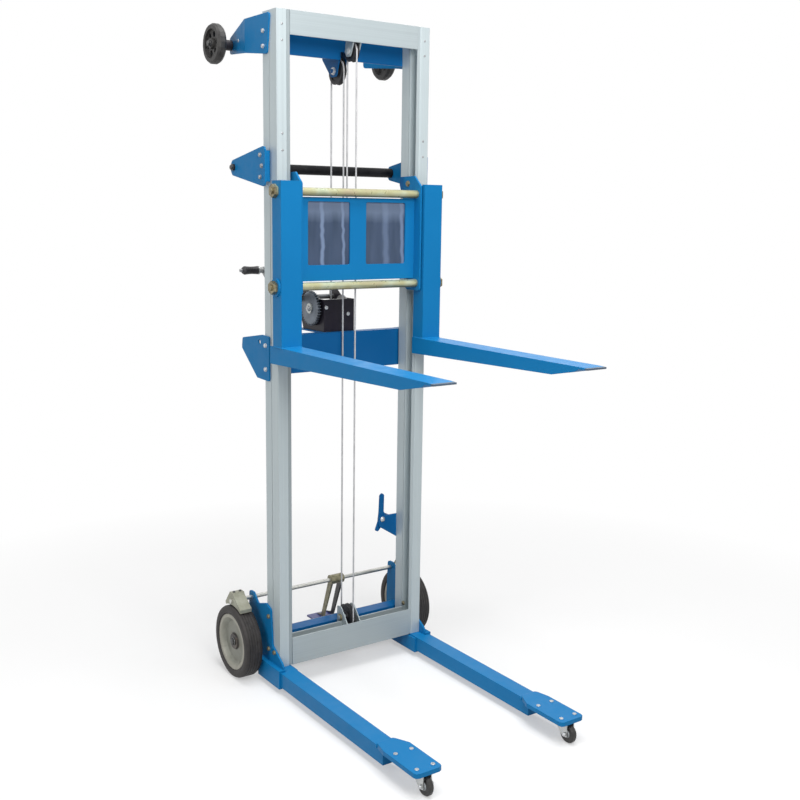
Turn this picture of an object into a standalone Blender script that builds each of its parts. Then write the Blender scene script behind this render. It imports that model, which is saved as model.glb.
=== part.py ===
"""Hand-winched lift trolley for rack servers: a two-stage aluminium mast on a wheeled steel base.

Metres, +Z up. The forks and legs point along -Y, +X is to the right seen from the front, and the
origin lies on the floor under the middle of the whole trolley's footprint.
"""

import math

import bmesh
import bpy
from mathutils import Matrix, Vector

GAP = 0.0003

# Whole trolley, measured from the front face of the moving columns
FORK_REACH = 0.681
LOAD_WHEEL_REACH = 0.3205
MAST_Y = (FORK_REACH - LOAD_WHEEL_REACH) / 2
MAST_TOP = 1.750

# Mast columns: two nested aluminium extrusions on each side
COLUMN_OUTER_X = 0.230
COLUMN_WIDTH = 0.038
COLUMN_INNER_X = COLUMN_OUTER_X - COLUMN_WIDTH
MOVING_DEPTH = 0.036
FIXED_DEPTH = 0.032
COLUMN_SPACE = 0.002
COLUMN_WALL = 0.004
RAIL_NECK = 0.012
RAIL_FLANGE = 0.026
RAIL_FLANGE_WALL = 0.005
RAIL_CLEARANCE = 0.003
GUIDE_LENGTH = 0.060
RUNNING_GAP = 0.0005
FACE_GROOVE = 0.0015
FACE_GROOVE_WIDTH = 0.009
FIXED_FRONT_Y = MOVING_DEPTH + COLUMN_SPACE
MAST_REAR_Y = FIXED_FRONT_Y + FIXED_DEPTH

# Legs and casters
LEG_TOP = 0.060
LEG_HEIGHT = 0.040
LEG_WIDTH = 0.046
LEG_CENTRE_X = 0.2215
LEG_REAR_Y = 0.085
LEG_WALL = 0.003
PAN_WIDTH = 0.074
PAN_CENTRE_X = 0.216
PAN_PLATE = 0.005
PAN_SKIRT = 0.011
PAN_WALL = 0.003
CASTER_Y = -0.610
PAN_FRONT_Y = CASTER_Y - 0.046
PAN_REAR_Y = CASTER_Y + 0.122
LEG_FRONT_Y = CASTER_Y + 0.095
CASTER_TRAIL = 0.032
CASTER_WHEEL_RADIUS = 0.024
CASTER_WHEEL_WIDTH = 0.018
CASTER_PIN_RADIUS = 0.004
CASTER_YOKE_WALL = 0.0025
CASTER_BEARING_RADIUS = 0.021
CASTER_STEM_RADIUS = 0.006
COLUMN_FOOT = LEG_TOP + GAP

# Rear wheels and axle
WHEEL_RADIUS = 0.100
WHEEL_WIDTH = 0.050
WHEEL_OUTER_X = 0.305
WHEEL_Y = 0.145
RIM_RADIUS = 0.077
HUB_RADIUS = 0.021
HUB_RECESS = 0.009
AXLE_RADIUS = 0.010
AXLE_COLLAR_RADIUS = 0.0145

# Base frame
SIDE_PLATE_INNER_X = COLUMN_OUTER_X + GAP
SIDE_PLATE = 0.005
SOCKET_FRONT_Y = -0.030
SOCKET_REAR_Y = 0.090
BASE_CROSS_TOP = 0.122
BASE_CROSS_BOTTOM = 0.066
BASE_CROSS_DEPTH = 0.040
SHEET = 0.004

# Load wheels at the top, for sliding the folded trolley into a van
LOAD_WHEEL_RADIUS = 0.051
LOAD_WHEEL_WIDTH = 0.026
LOAD_WHEEL_OUTER_X = 0.278
LOAD_WHEEL_Y = LOAD_WHEEL_REACH - LOAD_WHEEL_RADIUS
LOAD_WHEEL_Z = MAST_TOP - 0.057
LOAD_PIN_RADIUS = 0.006
LOAD_WHEEL_LOBES = 6
BRACKET_BEND_Y = 0.158
BRACKET_BEND = 0.17

# Rear top cross member and the pulley under it
REAR_CROSS_TOP = MAST_TOP - 0.015
REAR_CROSS_BOTTOM = REAR_CROSS_TOP - 0.080
REAR_CROSS_DEPTH = 0.042

# Rope and pulleys
ROPE_RADIUS = 0.0025
PULLEY_X = 0.006
PULLEY_WIDTH = 0.016
PULLEY_FLANGE = 0.0035
PULLEY_PIN_RADIUS = 0.006
OUTER_PULLEY_PITCH = 0.031
OUTER_PULLEY_Y = 0.1005
OUTER_PULLEY_Z = REAR_CROSS_BOTTOM - 0.025
LOWER_PULLEY_PITCH = 0.031
LOWER_PULLEY_Z = 0.145
UPPER_PULLEY_PITCH = 0.022
UPPER_PULLEY_Z = MAST_TOP - 0.078
CHEEK = 0.003
CHEEK_SPACE = 0.0015

# Push handle
HANDLE_BAR_RADIUS = 0.013
HANDLE_OFFSET = 0.016
HANDLE_Y = 0.198
HANDLE_Z = MAST_TOP - 0.372

# Winch
SHELF_TOP = 0.945
SHELF_BOTTOM = 0.843
SHELF_FLANGE = 0.030
GEAR_MODULE = 0.0025
GEAR_TEETH = 36
PINION_TEETH = 10
GEAR_FACE = 0.008
GEAR_BACKLASH = 0.0006
GEAR_X = -0.045
DRUM_Y = 0.152
DRUM_Z = 1.006
DRUM_RADIUS = 0.018
DRUM_FLANGE_RADIUS = 0.034
DRUM_SHAFT_RADIUS = 0.007
FRAME_LEFT_X = -0.036
FRAME_RIGHT_X = 0.060
FRAME_WALL = 0.003
FRAME_FRONT_Y = 0.098
SHAFT_RISE = 0.026
CRANK_SHAFT_RADIUS = 0.007
CRANK_ARM_X = -0.115
CRANK_ARM_WIDTH = 0.018
CRANK_ARM = 0.006
CRANK_LENGTH = 0.116
CRANK_LIFT = 0.072
GRIP_RADIUS = 0.012
GRIP_LENGTH = 0.062

# Carriage
BAR_RADIUS = 0.0105
BAR_Y = -0.022
UPPER_BAR_Z = 1.3165
LOWER_BAR_Z = 1.0800
BAR_NUT_RADIUS = 0.017
BAR_NUT = 0.011
BAR_BOSS = 0.004
BAR_BOSS_RADIUS = 0.023
SIDE_INNER_X = 0.180
CARRIAGE_SIDE = 0.005
PANEL_FRONT_Y = -0.0137
PANEL = 0.004
WINDOW_INNER_X = 0.025
WINDOW_OUTER_X = 0.150
WINDOW_TOP = 1.293
WINDOW_BOTTOM = 1.133
WINDOW_LAP = 0.006
WINDOW_SHEET = 0.002
ROLLER_RADIUS = 0.0137
ROLLER_WIDTH = 0.022
ROLLER_PIN_RADIUS = 0.005
UPPER_ROLLER_Z = 1.345
LOWER_ROLLER_Z = 1.085

# Fork uprights and forks
UPRIGHT_INNER_X = 0.188
UPRIGHT_OUTER_X = 0.246
UPRIGHT_FRONT_Y = -0.048
UPRIGHT_REAR_Y = -0.003
UPRIGHT_TOP = 1.342
UPRIGHT_WALL = 0.004
FORK_TOP = 0.930
FORK_HEEL_DEPTH = 0.045
FORK_HEEL_Y = 0.013
FORK_INNER_X = 0.186
FORK_WALL = 0.004
FORK_BEND_Y = -0.564
FORK_BEND_DEPTH = 0.029
FORK_TIP = 0.005
BLADE_Y = -0.640

# Brake
BRAKE_Y = 0.152
BRAKE_Z = 0.214
BRAKE_ROD_RADIUS = 0.006
SHOE_CLEARANCE = 0.004
SHOE_WIDTH = 0.034
PEDAL_WIDTH = 0.070
PEDAL_X = 0.038

# Mast latch
LATCH_X = 0.144
LATCH_Z = 0.397
LATCH_PIN_RADIUS = 0.004

PAINT = (0.020, 0.195, 0.520, 1.0)
ALUMINIUM = (0.66, 0.69, 0.71, 1.0)
BLACK = (0.018, 0.018, 0.020, 1.0)
ZINC = (0.62, 0.57, 0.36, 1.0)
STEEL = (0.42, 0.43, 0.44, 1.0)
SMOKED = (0.10, 0.13, 0.20, 1.0)


def clear_scene():
    for old in list(bpy.data.objects):
        bpy.data.objects.remove(old, do_unlink=True)


def collection(name):
    made = bpy.data.collections.new(name)
    bpy.context.scene.collection.children.link(made)
    return made


clear_scene()
PARTS = collection("server_lift_trolley")
CUTTERS = collection("cutters")


def material(name, colour, roughness, metallic):
    made = bpy.data.materials.new(name)
    made.use_nodes = True
    shader = made.node_tree.nodes["Principled BSDF"]
    shader.inputs["Base Color"].default_value = colour
    shader.inputs["Roughness"].default_value = roughness
    shader.inputs["Metallic"].default_value = metallic
    return made


BLUE_PAINT = material("blue_paint", PAINT, 0.38, 0.0)
BARE_ALUMINIUM = material("aluminium", ALUMINIUM, 0.42, 0.9)
BLACK_RUBBER = material("black_rubber", BLACK, 0.75, 0.0)
BLACK_PLASTIC = material("black_plastic", BLACK, 0.5, 0.0)
YELLOW_ZINC = material("yellow_zinc", ZINC, 0.3, 0.9)
PLAIN_STEEL = material("steel", STEEL, 0.35, 0.95)
BLACK_PAINT = material("black_paint", BLACK, 0.4, 0.0)
SMOKED_SHEET = material("smoked_sheet", SMOKED, 0.15, 0.0)

# Local axes of a flat outline: its x, its y and the direction it is extruded along
SIDE_ON = Matrix(((0, 0, 1), (1, 0, 0), (0, 1, 0))).to_4x4()
FACE_ON = Matrix(((1, 0, 0), (0, 0, -1), (0, 1, 0))).to_4x4()
TOP_ON = Matrix.Identity(4)
ALONG_X = Matrix.Rotation(math.pi / 2, 4, "Y")


def place(obj, matrix):
    """Puts an object at a place given in the mast's own frame."""
    obj.matrix_world = Matrix.Translation((0, MAST_Y, 0)) @ matrix


def pivot_at(obj, point):
    """Moves an object's origin to a point of the mast's frame and leaves its shape where it is."""
    old = obj.matrix_world.copy()
    new = Matrix.Translation(Vector(point) + Vector((0, MAST_Y, 0))) @ old.to_3x3().to_4x4()
    obj.data.transform(new.inverted() @ old)
    obj.matrix_world = new


def shade(obj):
    obj.data.shade_smooth()
    obj.data.set_sharp_from_angle(angle=math.radians(35))


def from_bmesh(name, bm, finish, cutter=False):
    mesh = bpy.data.meshes.new(name)
    bm.to_mesh(mesh)
    bm.free()
    obj = bpy.data.objects.new(name, mesh)
    if cutter:
        CUTTERS.objects.link(obj)
        obj.hide_render = True
        obj.display_type = "WIRE"
        return obj
    PARTS.objects.link(obj)
    mesh.materials.append(finish)
    return obj


def boolean(obj, other, operation):
    joint = obj.modifiers.new(operation.lower(), "BOOLEAN")
    joint.operation = operation
    joint.object = other
    joint.solver = "EXACT"


def box(name, low, high, finish=None, cutter=False):
    """A box between two corners of the mast's frame."""
    bm = bmesh.new()
    size = Vector(high) - Vector(low)
    bmesh.ops.create_cube(bm, size=1, matrix=Matrix.Diagonal(size).to_4x4())
    obj = from_bmesh(name, bm, finish, cutter)
    place(obj, Matrix.Translation((Vector(high) + Vector(low)) / 2))
    return obj


def cylinder(name, start, end, radius, finish=None, cutter=False, sides=20, end_radius=None):
    """A round bar between two points of the mast's frame."""
    start, end = Vector(start), Vector(end)
    bm = bmesh.new()
    bmesh.ops.create_cone(
        bm, cap_ends=True, segments=sides, depth=(end - start).length,
        radius1=radius, radius2=radius if end_radius is None else end_radius,
    )
    obj = from_bmesh(name, bm, finish, cutter)
    turn = (end - start).to_track_quat("Z", "Y").to_matrix().to_4x4()
    place(obj, Matrix.Translation((start + end) / 2) @ turn)
    shade(obj)
    return obj


def circle(centre, radius, points=18):
    return [
        (centre[0] + radius * math.cos(2 * math.pi * i / points),
         centre[1] + radius * math.sin(2 * math.pi * i / points))
        for i in range(points)
    ]


def rounded(points, radius, steps=2):
    """An outline whose corners are arcs of one radius, shortened where a side is short."""
    made = []
    count = len(points)
    for i, corner in enumerate(points):
        here = Vector(corner)
        before = Vector(points[i - 1]) - here
        after = Vector(points[(i + 1) % count]) - here
        half = before.angle(after) / 2
        reach = min(radius / math.tan(half), before.length * 0.45, after.length * 0.45)
        fitted = reach * math.tan(half)
        middle = here + (before.normalized() + after.normalized()).normalized() * fitted / math.sin(half)
        first = here + before.normalized() * reach - middle
        last = here + after.normalized() * reach - middle
        sweep = first.angle_signed(last)
        for step in range(steps + 1):
            arm = first.copy()
            arm.rotate(Matrix.Rotation(-sweep * step / steps, 2))
            made.append(tuple(middle + arm))
    return made


def outline_mesh(name, outlines, thickness):
    """A flat outline, with any holes, given a thickness about its own plane, as a welded mesh."""
    curve = bpy.data.curves.new(name, "CURVE")
    curve.dimensions = "2D"
    curve.fill_mode = "BOTH"
    curve.extrude = thickness / 2
    for points in outlines:
        spline = curve.splines.new("POLY")
        spline.points.add(len(points) - 1)
        for point, at in zip(spline.points, points):
            point.co = (at[0], at[1], 0, 1)
        spline.use_cyclic_u = True
    guide = bpy.data.objects.new(name + "_outline", curve)
    bpy.context.scene.collection.objects.link(guide)
    graph = bpy.context.evaluated_depsgraph_get()
    mesh = bpy.data.meshes.new_from_object(guide.evaluated_get(graph))
    bpy.data.objects.remove(guide, do_unlink=True)
    bm = bmesh.new()
    bm.from_mesh(mesh)
    bpy.data.meshes.remove(mesh)
    bmesh.ops.remove_doubles(bm, verts=bm.verts, dist=0.000001)
    bmesh.ops.recalc_face_normals(bm, faces=bm.faces)
    return bm


def plate(name, outlines, thickness, view, offset, finish=None, cutter=False):
    """A flat outline in a view of the mast's frame, its middle at an offset along that view."""
    bm = outline_mesh(name, outlines, thickness)
    obj = from_bmesh(name, bm, finish, cutter)
    place(obj, view @ Matrix.Translation((0, 0, offset)))
    return obj


def turned(name, profile, finish=None, steps=32, closed=False, cutter=False):
    """A turned shape about its own Z, from (radius, height) points running down its outer side."""
    bm = bmesh.new()
    points = [bm.verts.new((radius, 0, height)) for radius, height in profile]
    for a, b in zip(points, points[1:]):
        bm.edges.new((a, b))
    if closed:
        bm.edges.new((points[-1], points[0]))
    obj = from_bmesh(name, bm, finish, cutter)
    screw = obj.modifiers.new("turn", "SCREW")
    screw.steps = steps
    screw.render_steps = steps
    screw.use_merge_vertices = True
    screw.merge_threshold = 0.00001
    screw.use_smooth_shade = True
    return obj


def union(target, *others):
    """Joins other shapes to a target and hides them with the cutters."""
    for other in others:
        boolean(target, other, "UNION")


def cut(target, *others):
    for other in others:
        boolean(target, other, "DIFFERENCE")


def mirrored(points, side):
    """An outline of the right-hand side, or its mirror image for the left."""
    return [(side * x, y) for x, y in points] if side > 0 else [(-x, y) for x, y in reversed(points)]


SIDES = (("left", -1), ("right", 1))


# Mast

def moving_column_outline():
    """Section of a moving column: a channel open to the middle of the mast, with a T rail behind."""
    inner, outer = COLUMN_INNER_X, COLUMN_OUTER_X
    middle = (inner + outer) / 2
    neck, flange = RAIL_NECK / 2, RAIL_FLANGE / 2
    rear = MOVING_DEPTH
    flange_front = FIXED_FRONT_Y + COLUMN_WALL + RAIL_CLEARANCE
    flange_rear = flange_front + RAIL_FLANGE_WALL
    return [
        (inner, FACE_GROOVE),
        (inner + FACE_GROOVE_WIDTH, FACE_GROOVE),
        (inner + FACE_GROOVE_WIDTH + FACE_GROOVE, 0),
        (outer, 0),
        (outer, rear),
        (middle + neck, rear),
        (middle + neck, flange_front),
        (middle + flange, flange_front),
        (middle + flange, flange_rear),
        (middle - flange, flange_rear),
        (middle - flange, flange_front),
        (middle - neck, flange_front),
        (middle - neck, rear),
        (inner, rear),
        (inner, rear - COLUMN_WALL),
        (outer - COLUMN_WALL, rear - COLUMN_WALL),
        (outer - COLUMN_WALL, COLUMN_WALL),
        (inner, COLUMN_WALL),
    ]


def fixed_column_outline():
    """Section of a fixed column: a channel open to the front, with lips that hold the T rail."""
    inner, outer = COLUMN_INNER_X, COLUMN_OUTER_X
    middle = (inner + outer) / 2
    mouth = RAIL_NECK / 2 + RAIL_CLEARANCE
    front, rear = FIXED_FRONT_Y, MAST_REAR_Y
    wall = COLUMN_WALL
    return [
        (middle + mouth, front),
        (outer, front),
        (outer, rear),
        (inner, rear),
        (inner, front),
        (middle - mouth, front),
        (middle - mouth, front + wall),
        (inner + wall, front + wall),
        (inner + wall, rear - wall),
        (outer - wall, rear - wall),
        (outer - wall, front + wall),
        (middle + mouth, front + wall),
    ]


def mast_columns():
    length = MAST_TOP - COLUMN_FOOT
    centre = (MAST_TOP + COLUMN_FOOT) / 2
    for side_name, side in SIDES:
        sections = (("moving_column", moving_column_outline()), ("fixed_column", fixed_column_outline()))
        for name, section in sections:
            plate(f"{name}_{side_name}", [mirrored(section, side)], length, TOP_ON, centre, BARE_ALUMINIUM)


def guide_outline(rail_gap, wall_gap):
    """Section of a nylon slider that fills a fixed column around the T rail."""
    middle = (COLUMN_INNER_X + COLUMN_OUTER_X) / 2
    half = COLUMN_WIDTH / 2 - COLUMN_WALL - wall_gap
    front = FIXED_FRONT_Y + COLUMN_WALL + wall_gap
    rear = MAST_REAR_Y - COLUMN_WALL - wall_gap
    neck, flange = RAIL_NECK / 2 + rail_gap, RAIL_FLANGE / 2 + rail_gap
    flange_front = FIXED_FRONT_Y + COLUMN_WALL + RAIL_CLEARANCE
    near, far = flange_front - rail_gap, flange_front + RAIL_FLANGE_WALL + rail_gap
    return [
        (middle + neck, front),
        (middle + half, front),
        (middle + half, rear),
        (middle - half, rear),
        (middle - half, front),
        (middle - neck, front),
        (middle - neck, near),
        (middle - flange, near),
        (middle - flange, far),
        (middle + flange, far),
        (middle + flange, near),
        (middle + neck, near),
    ]


def guides():
    """Sliders between the columns: one in the head of each fixed column, one on each moving foot."""
    head = MAST_TOP - GUIDE_LENGTH / 2 - GAP
    foot = COLUMN_FOOT + GUIDE_LENGTH / 2
    for side_name, side in SIDES:
        for name, section, at in (
            ("head_guide", guide_outline(RUNNING_GAP, GAP), head),
            ("foot_glide", guide_outline(GAP, RUNNING_GAP), foot),
        ):
            plate(f"{name}_{side_name}", [mirrored(section, side)], GUIDE_LENGTH, TOP_ON, at, BLACK_PLASTIC)


TOP_BEAM_HEIGHT = 0.058
TOP_BEAM_BOTTOM = MAST_TOP - TOP_BEAM_HEIGHT
TOP_BEAM_WALL = 0.004


def top_crossbeam():
    """Pressed angle between the heads of the moving columns, with two cheeks for the upper pulley."""
    rear = MOVING_DEPTH - 0.002
    wall = TOP_BEAM_WALL
    section = [
        (0, TOP_BEAM_BOTTOM),
        (0, MAST_TOP),
        (rear, MAST_TOP),
        (rear, MAST_TOP - wall),
        (wall, MAST_TOP - wall),
        (wall, TOP_BEAM_BOTTOM),
    ]
    beam = plate("top_crossbeam", [section], 2 * (COLUMN_INNER_X - GAP), SIDE_ON, 0, BARE_ALUMINIUM)
    cheek = rounded([
        (wall / 2, TOP_BEAM_BOTTOM + 0.006),
        (wall / 2, MAST_TOP - wall / 2),
        (rear - wall / 2, MAST_TOP - wall / 2),
        (UPPER_PULLEY_Y + 0.014, UPPER_PULLEY_Z + 0.010),
        (UPPER_PULLEY_Y + 0.010, UPPER_PULLEY_Z - 0.013),
        (UPPER_PULLEY_Y - 0.010, UPPER_PULLEY_Z - 0.013),
    ], 0.006)
    pulley_cheeks(beam, "upper", cheek, UPPER_PULLEY_Y, UPPER_PULLEY_Z, PULLEY_WIDTH / 2 + CHEEK_SPACE)


FOOT_BEAM_TOP = 0.136
FOOT_BEAM_WALL = 0.004
LOWER_PULLEY_Y = OUTER_PULLEY_Y - OUTER_PULLEY_PITCH - LOWER_PULLEY_PITCH
LOWER_CHEEK_X = 0.0195
UPPER_PULLEY_Y = LOWER_PULLEY_Y - LOWER_PULLEY_PITCH + UPPER_PULLEY_PITCH
CARRIAGE_ROPE_Y = UPPER_PULLEY_Y + UPPER_PULLEY_PITCH


def lower_crossbeam():
    """Channel between the feet of the moving columns, with two cheeks that carry the lower pulley."""
    bottom = COLUMN_FOOT
    rear = MOVING_DEPTH - 0.002
    wall = FOOT_BEAM_WALL
    section = [
        (0, bottom),
        (0, FOOT_BEAM_TOP),
        (wall, FOOT_BEAM_TOP),
        (wall, bottom + wall),
        (rear - wall, bottom + wall),
        (rear - wall, FOOT_BEAM_TOP),
        (rear, FOOT_BEAM_TOP),
        (rear, bottom),
    ]
    beam = plate("lower_crossbeam", [section], 2 * (COLUMN_INNER_X - GAP), SIDE_ON, 0, BARE_ALUMINIUM)
    notch = box("lower_notch", (PULLEY_X - LOWER_CHEEK_X, rear - wall - 0.002, bottom + 0.020),
                (PULLEY_X + LOWER_CHEEK_X, rear + 0.002, FOOT_BEAM_TOP + 0.002), cutter=True)
    cut(beam, notch)
    cheek = rounded([
        (wall / 2, bottom + wall / 2),
        (rear - wall / 2, bottom + wall / 2),
        (LOWER_PULLEY_Y + 0.018, LOWER_PULLEY_Z - 0.016),
        (LOWER_PULLEY_Y + 0.018, LOWER_PULLEY_Z + 0.030),
        (LOWER_PULLEY_Y - 0.002, LOWER_PULLEY_Z + 0.030),
        (wall / 2, FOOT_BEAM_TOP - 0.002),
    ], 0.005)
    pulley_cheeks(beam, "lower", cheek, LOWER_PULLEY_Y, LOWER_PULLEY_Z, LOWER_CHEEK_X)


def pulley_cheeks(beam, name, outline, y, z, space):
    """Joins two cheeks and the pin between them to the beam that carries a pulley."""
    for side in (-1, 1):
        at = PULLEY_X + side * (space + CHEEK / 2)
        union(beam, plate(f"{name}_cheek_{side}", [outline], CHEEK, SIDE_ON, at, cutter=True))
    reach = space + CHEEK + 0.006
    ends = [(PULLEY_X + side * reach, y, z) for side in (-1, 1)]
    union(beam, cylinder(f"{name}_pin", *ends, PULLEY_PIN_RADIUS, cutter=True, sides=16))


def pulley(name, pitch, y, z):
    """A grooved rope wheel on an axle along X."""
    rim = pitch + PULLEY_FLANGE
    groove = pitch - ROPE_RADIUS - 0.0003
    half = PULLEY_WIDTH / 2
    lip = half * 0.8
    bore = PULLEY_PIN_RADIUS + GAP
    side = [(bore, half), (bore + 0.005, half), (bore + 0.006, half * 0.5), (groove - 0.003, half * 0.5),
            (groove - 0.002, lip), (rim, lip), (groove, ROPE_RADIUS * 0.6)]
    profile = side + [(radius, -height) for radius, height in reversed(side)]
    obj = turned(name, profile, BLACK_PLASTIC, steps=20, closed=True)
    place(obj, Matrix.Translation((PULLEY_X, y, z)) @ ALONG_X)


# Top of the fixed mast

BRACKET_X = COLUMN_OUTER_X + GAP
BRACKET = 0.004


def rear_top_crossmember():
    """Blue channel behind the heads of the fixed columns, with the forked hanger of the outer pulley."""
    front = MAST_REAR_Y + GAP
    rear = front + REAR_CROSS_DEPTH
    section = [
        (front, REAR_CROSS_BOTTOM),
        (front, REAR_CROSS_TOP),
        (rear, REAR_CROSS_TOP),
        (rear, REAR_CROSS_TOP - 0.020),
        (rear - SHEET, REAR_CROSS_TOP - 0.020),
        (rear - SHEET, REAR_CROSS_TOP - SHEET),
        (front + SHEET, REAR_CROSS_TOP - SHEET),
        (front + SHEET, REAR_CROSS_BOTTOM),
    ]
    beam = plate("rear_top_crossmember", [section], 2 * COLUMN_OUTER_X, SIDE_ON, 0, BLUE_PAINT)
    space = PULLEY_WIDTH / 2 + CHEEK_SPACE
    recess = box("rear_top_recess", (PULLEY_X - space, front - 0.002, REAR_CROSS_BOTTOM - 0.01),
                 (PULLEY_X + space, front + SHEET + 0.002, OUTER_PULLEY_Z + 0.045), cutter=True)
    cut(beam, recess)
    hanger = rounded([
        (front + SHEET / 2, REAR_CROSS_TOP - SHEET / 2),
        (front + SHEET / 2, REAR_CROSS_BOTTOM + 0.004),
        (OUTER_PULLEY_Y - 0.013, OUTER_PULLEY_Z - 0.015),
        (OUTER_PULLEY_Y + 0.013, OUTER_PULLEY_Z - 0.015),
        (OUTER_PULLEY_Y + 0.058, OUTER_PULLEY_Z + 0.034),
        (OUTER_PULLEY_Y + 0.058, OUTER_PULLEY_Z + 0.052),
        (rear - SHEET / 2, REAR_CROSS_TOP - SHEET / 2),
    ], 0.006)
    pulley_cheeks(beam, "outer", hanger, OUTER_PULLEY_Y, OUTER_PULLEY_Z, PULLEY_WIDTH / 2 + CHEEK_SPACE)


def load_wheel_brackets():
    """Side plates outside the column heads, their rear halves bent inwards, each with a load wheel's pin."""
    tip = 0.020
    outline = rounded([
        (0.027, MAST_TOP - 0.006),
        (0.041, MAST_TOP - 0.103),
        (BRACKET_BEND_Y + 0.006, MAST_TOP - 0.088),
        (LOAD_WHEEL_Y + tip, LOAD_WHEEL_Z - tip),
        (LOAD_WHEEL_Y + tip, LOAD_WHEEL_Z + tip),
        (BRACKET_BEND_Y + 0.004, MAST_TOP - 0.006),
    ], 0.008)
    for side_name, side in SIDES:
        bm = outline_mesh(f"load_wheel_bracket_{side_name}", [outline], BRACKET)
        geometry = bm.verts[:] + bm.edges[:] + bm.faces[:]
        bmesh.ops.bisect_plane(bm, geom=geometry, plane_co=(BRACKET_BEND_Y, 0, 0), plane_no=(1, 0, 0))
        for vert in bm.verts:
            vert.co.z -= side * BRACKET_BEND * max(0, vert.co.x - BRACKET_BEND_Y)
        obj = from_bmesh(f"load_wheel_bracket_{side_name}", bm, BLUE_PAINT)
        at = BRACKET_X + BRACKET / 2
        place(obj, SIDE_ON @ Matrix.Translation((0, 0, side * at)))
        tongue_x = at - BRACKET_BEND * (LOAD_WHEEL_Y - BRACKET_BEND_Y)
        boss_x = LOAD_WHEEL_OUTER_X - LOAD_WHEEL_WIDTH - GAP
        pin_x = LOAD_WHEEL_OUTER_X + 0.003
        boss = cylinder(f"load_boss_{side_name}", (side * tongue_x, LOAD_WHEEL_Y, LOAD_WHEEL_Z),
                        (side * boss_x, LOAD_WHEEL_Y, LOAD_WHEEL_Z), 0.011, cutter=True, sides=16)
        pin = cylinder(f"load_pin_{side_name}", (side * (boss_x - 0.004), LOAD_WHEEL_Y, LOAD_WHEEL_Z),
                       (side * pin_x, LOAD_WHEEL_Y, LOAD_WHEEL_Z), LOAD_PIN_RADIUS, cutter=True, sides=16)
        union(obj, boss, pin)


def load_wheels():
    """Moulded wheels with a hub, a web pierced between its spokes, and a round tread."""
    half = LOAD_WHEEL_WIDTH / 2
    bore = LOAD_PIN_RADIUS + GAP
    rim = LOAD_WHEEL_RADIUS
    side = [(bore, half), (0.013, half), (0.014, half * 0.4), (rim - 0.015, half * 0.4), (rim - 0.014, half * 0.9),
            (rim - 0.004, half * 0.9), (rim, half * 0.45)]
    profile = side + [(radius, -height) for radius, height in reversed(side)]
    for side_name, direction in SIDES:
        wheel = turned(f"load_wheel_{side_name}", profile, BLACK_PLASTIC, steps=24, closed=True)
        centre = Vector((direction * (LOAD_WHEEL_OUTER_X - half), LOAD_WHEEL_Y, LOAD_WHEEL_Z))
        place(wheel, Matrix.Translation(centre) @ ALONG_X)
        holes = bmesh.new()
        for lobe in range(LOAD_WHEEL_LOBES):
            turn = Matrix.Rotation(2 * math.pi * (lobe + 0.35) / LOAD_WHEEL_LOBES, 4, "Z")
            bmesh.ops.create_cone(holes, cap_ends=True, segments=10, depth=LOAD_WHEEL_WIDTH, radius1=0.008,
                                  radius2=0.008, matrix=turn @ Matrix.Translation((0.025, 0, 0)))
        cutter = from_bmesh(f"load_wheel_holes_{side_name}", holes, None, cutter=True)
        place(cutter, Matrix.Translation(centre) @ ALONG_X)
        cut(wheel, cutter)


# Push handle

def handle():
    """Two stand-off brackets outside the columns and the black bar between their tips."""
    front = HANDLE_Y - 0.172
    outline = rounded([
        (front, HANDLE_Z + 0.050),
        (front, HANDLE_Z - 0.052),
        (HANDLE_Y + 0.010, HANDLE_Z - 0.020),
        (HANDLE_Y + 0.022, HANDLE_Z),
        (HANDLE_Y + 0.010, HANDLE_Z + 0.018),
    ], 0.010)
    pin = HANDLE_BAR_RADIUS * 0.62
    hole = circle((HANDLE_Y, HANDLE_Z), pin + GAP)
    inner = COLUMN_OUTER_X + HANDLE_OFFSET
    for side_name, side in SIDES:
        at = side * (inner + BRACKET / 2)
        bracket = plate(f"handle_bracket_{side_name}", [outline, hole], BRACKET, SIDE_ON, at, BLUE_PAINT)
        reach = (side * BRACKET_X, side * (inner + BRACKET / 2))
        pad = box(f"handle_pad_{side_name}", (min(reach), front + 0.010, HANDLE_Z - 0.038),
                  (max(reach), front + 0.036, HANDLE_Z + 0.038), cutter=True)
        union(bracket, pad)
    shoulder = inner - GAP
    end = inner + BRACKET + 0.004
    radius = HANDLE_BAR_RADIUS
    profile = [
        (0, end), (pin, end), (pin, shoulder), (radius, shoulder),
        (radius, -shoulder), (pin, -shoulder), (pin, -end), (0, -end),
    ]
    bar = turned("handle_bar", profile, BLACK_RUBBER, steps=24)
    place(bar, Matrix.Translation((0, HANDLE_Y, HANDLE_Z)) @ ALONG_X)


# Winch

def gear_outline(teeth, module, backlash, phase):
    """An involute gear outline, each flank thinned by its share of the backlash."""
    pressure = math.radians(20)
    pitch = teeth * module / 2
    base = pitch * math.cos(pressure)
    tip = pitch + module
    root = pitch - 1.25 * module
    start = max(base, root)
    involute = math.tan(pressure) - pressure
    half_tooth = math.pi / (2 * teeth) - backlash / (4 * pitch)
    flank = []
    for step in range(2):
        radius = start + (tip - start) * step
        roll = math.sqrt(max((radius / base) ** 2 - 1, 0))
        flank.append((radius, half_tooth + involute - (roll - math.atan(roll))))
    points = []
    for tooth in range(teeth):
        middle = phase + 2 * math.pi * tooth / teeth
        root_angle = half_tooth + involute + 0.15 * math.pi / teeth
        sides = [(root, -root_angle)] + [(r, -a) for r, a in flank] + [(r, a) for r, a in reversed(flank)]
        sides.append((root, root_angle))
        points += [(r * math.cos(middle + a), r * math.sin(middle + a)) for r, a in sides]
    return points


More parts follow.
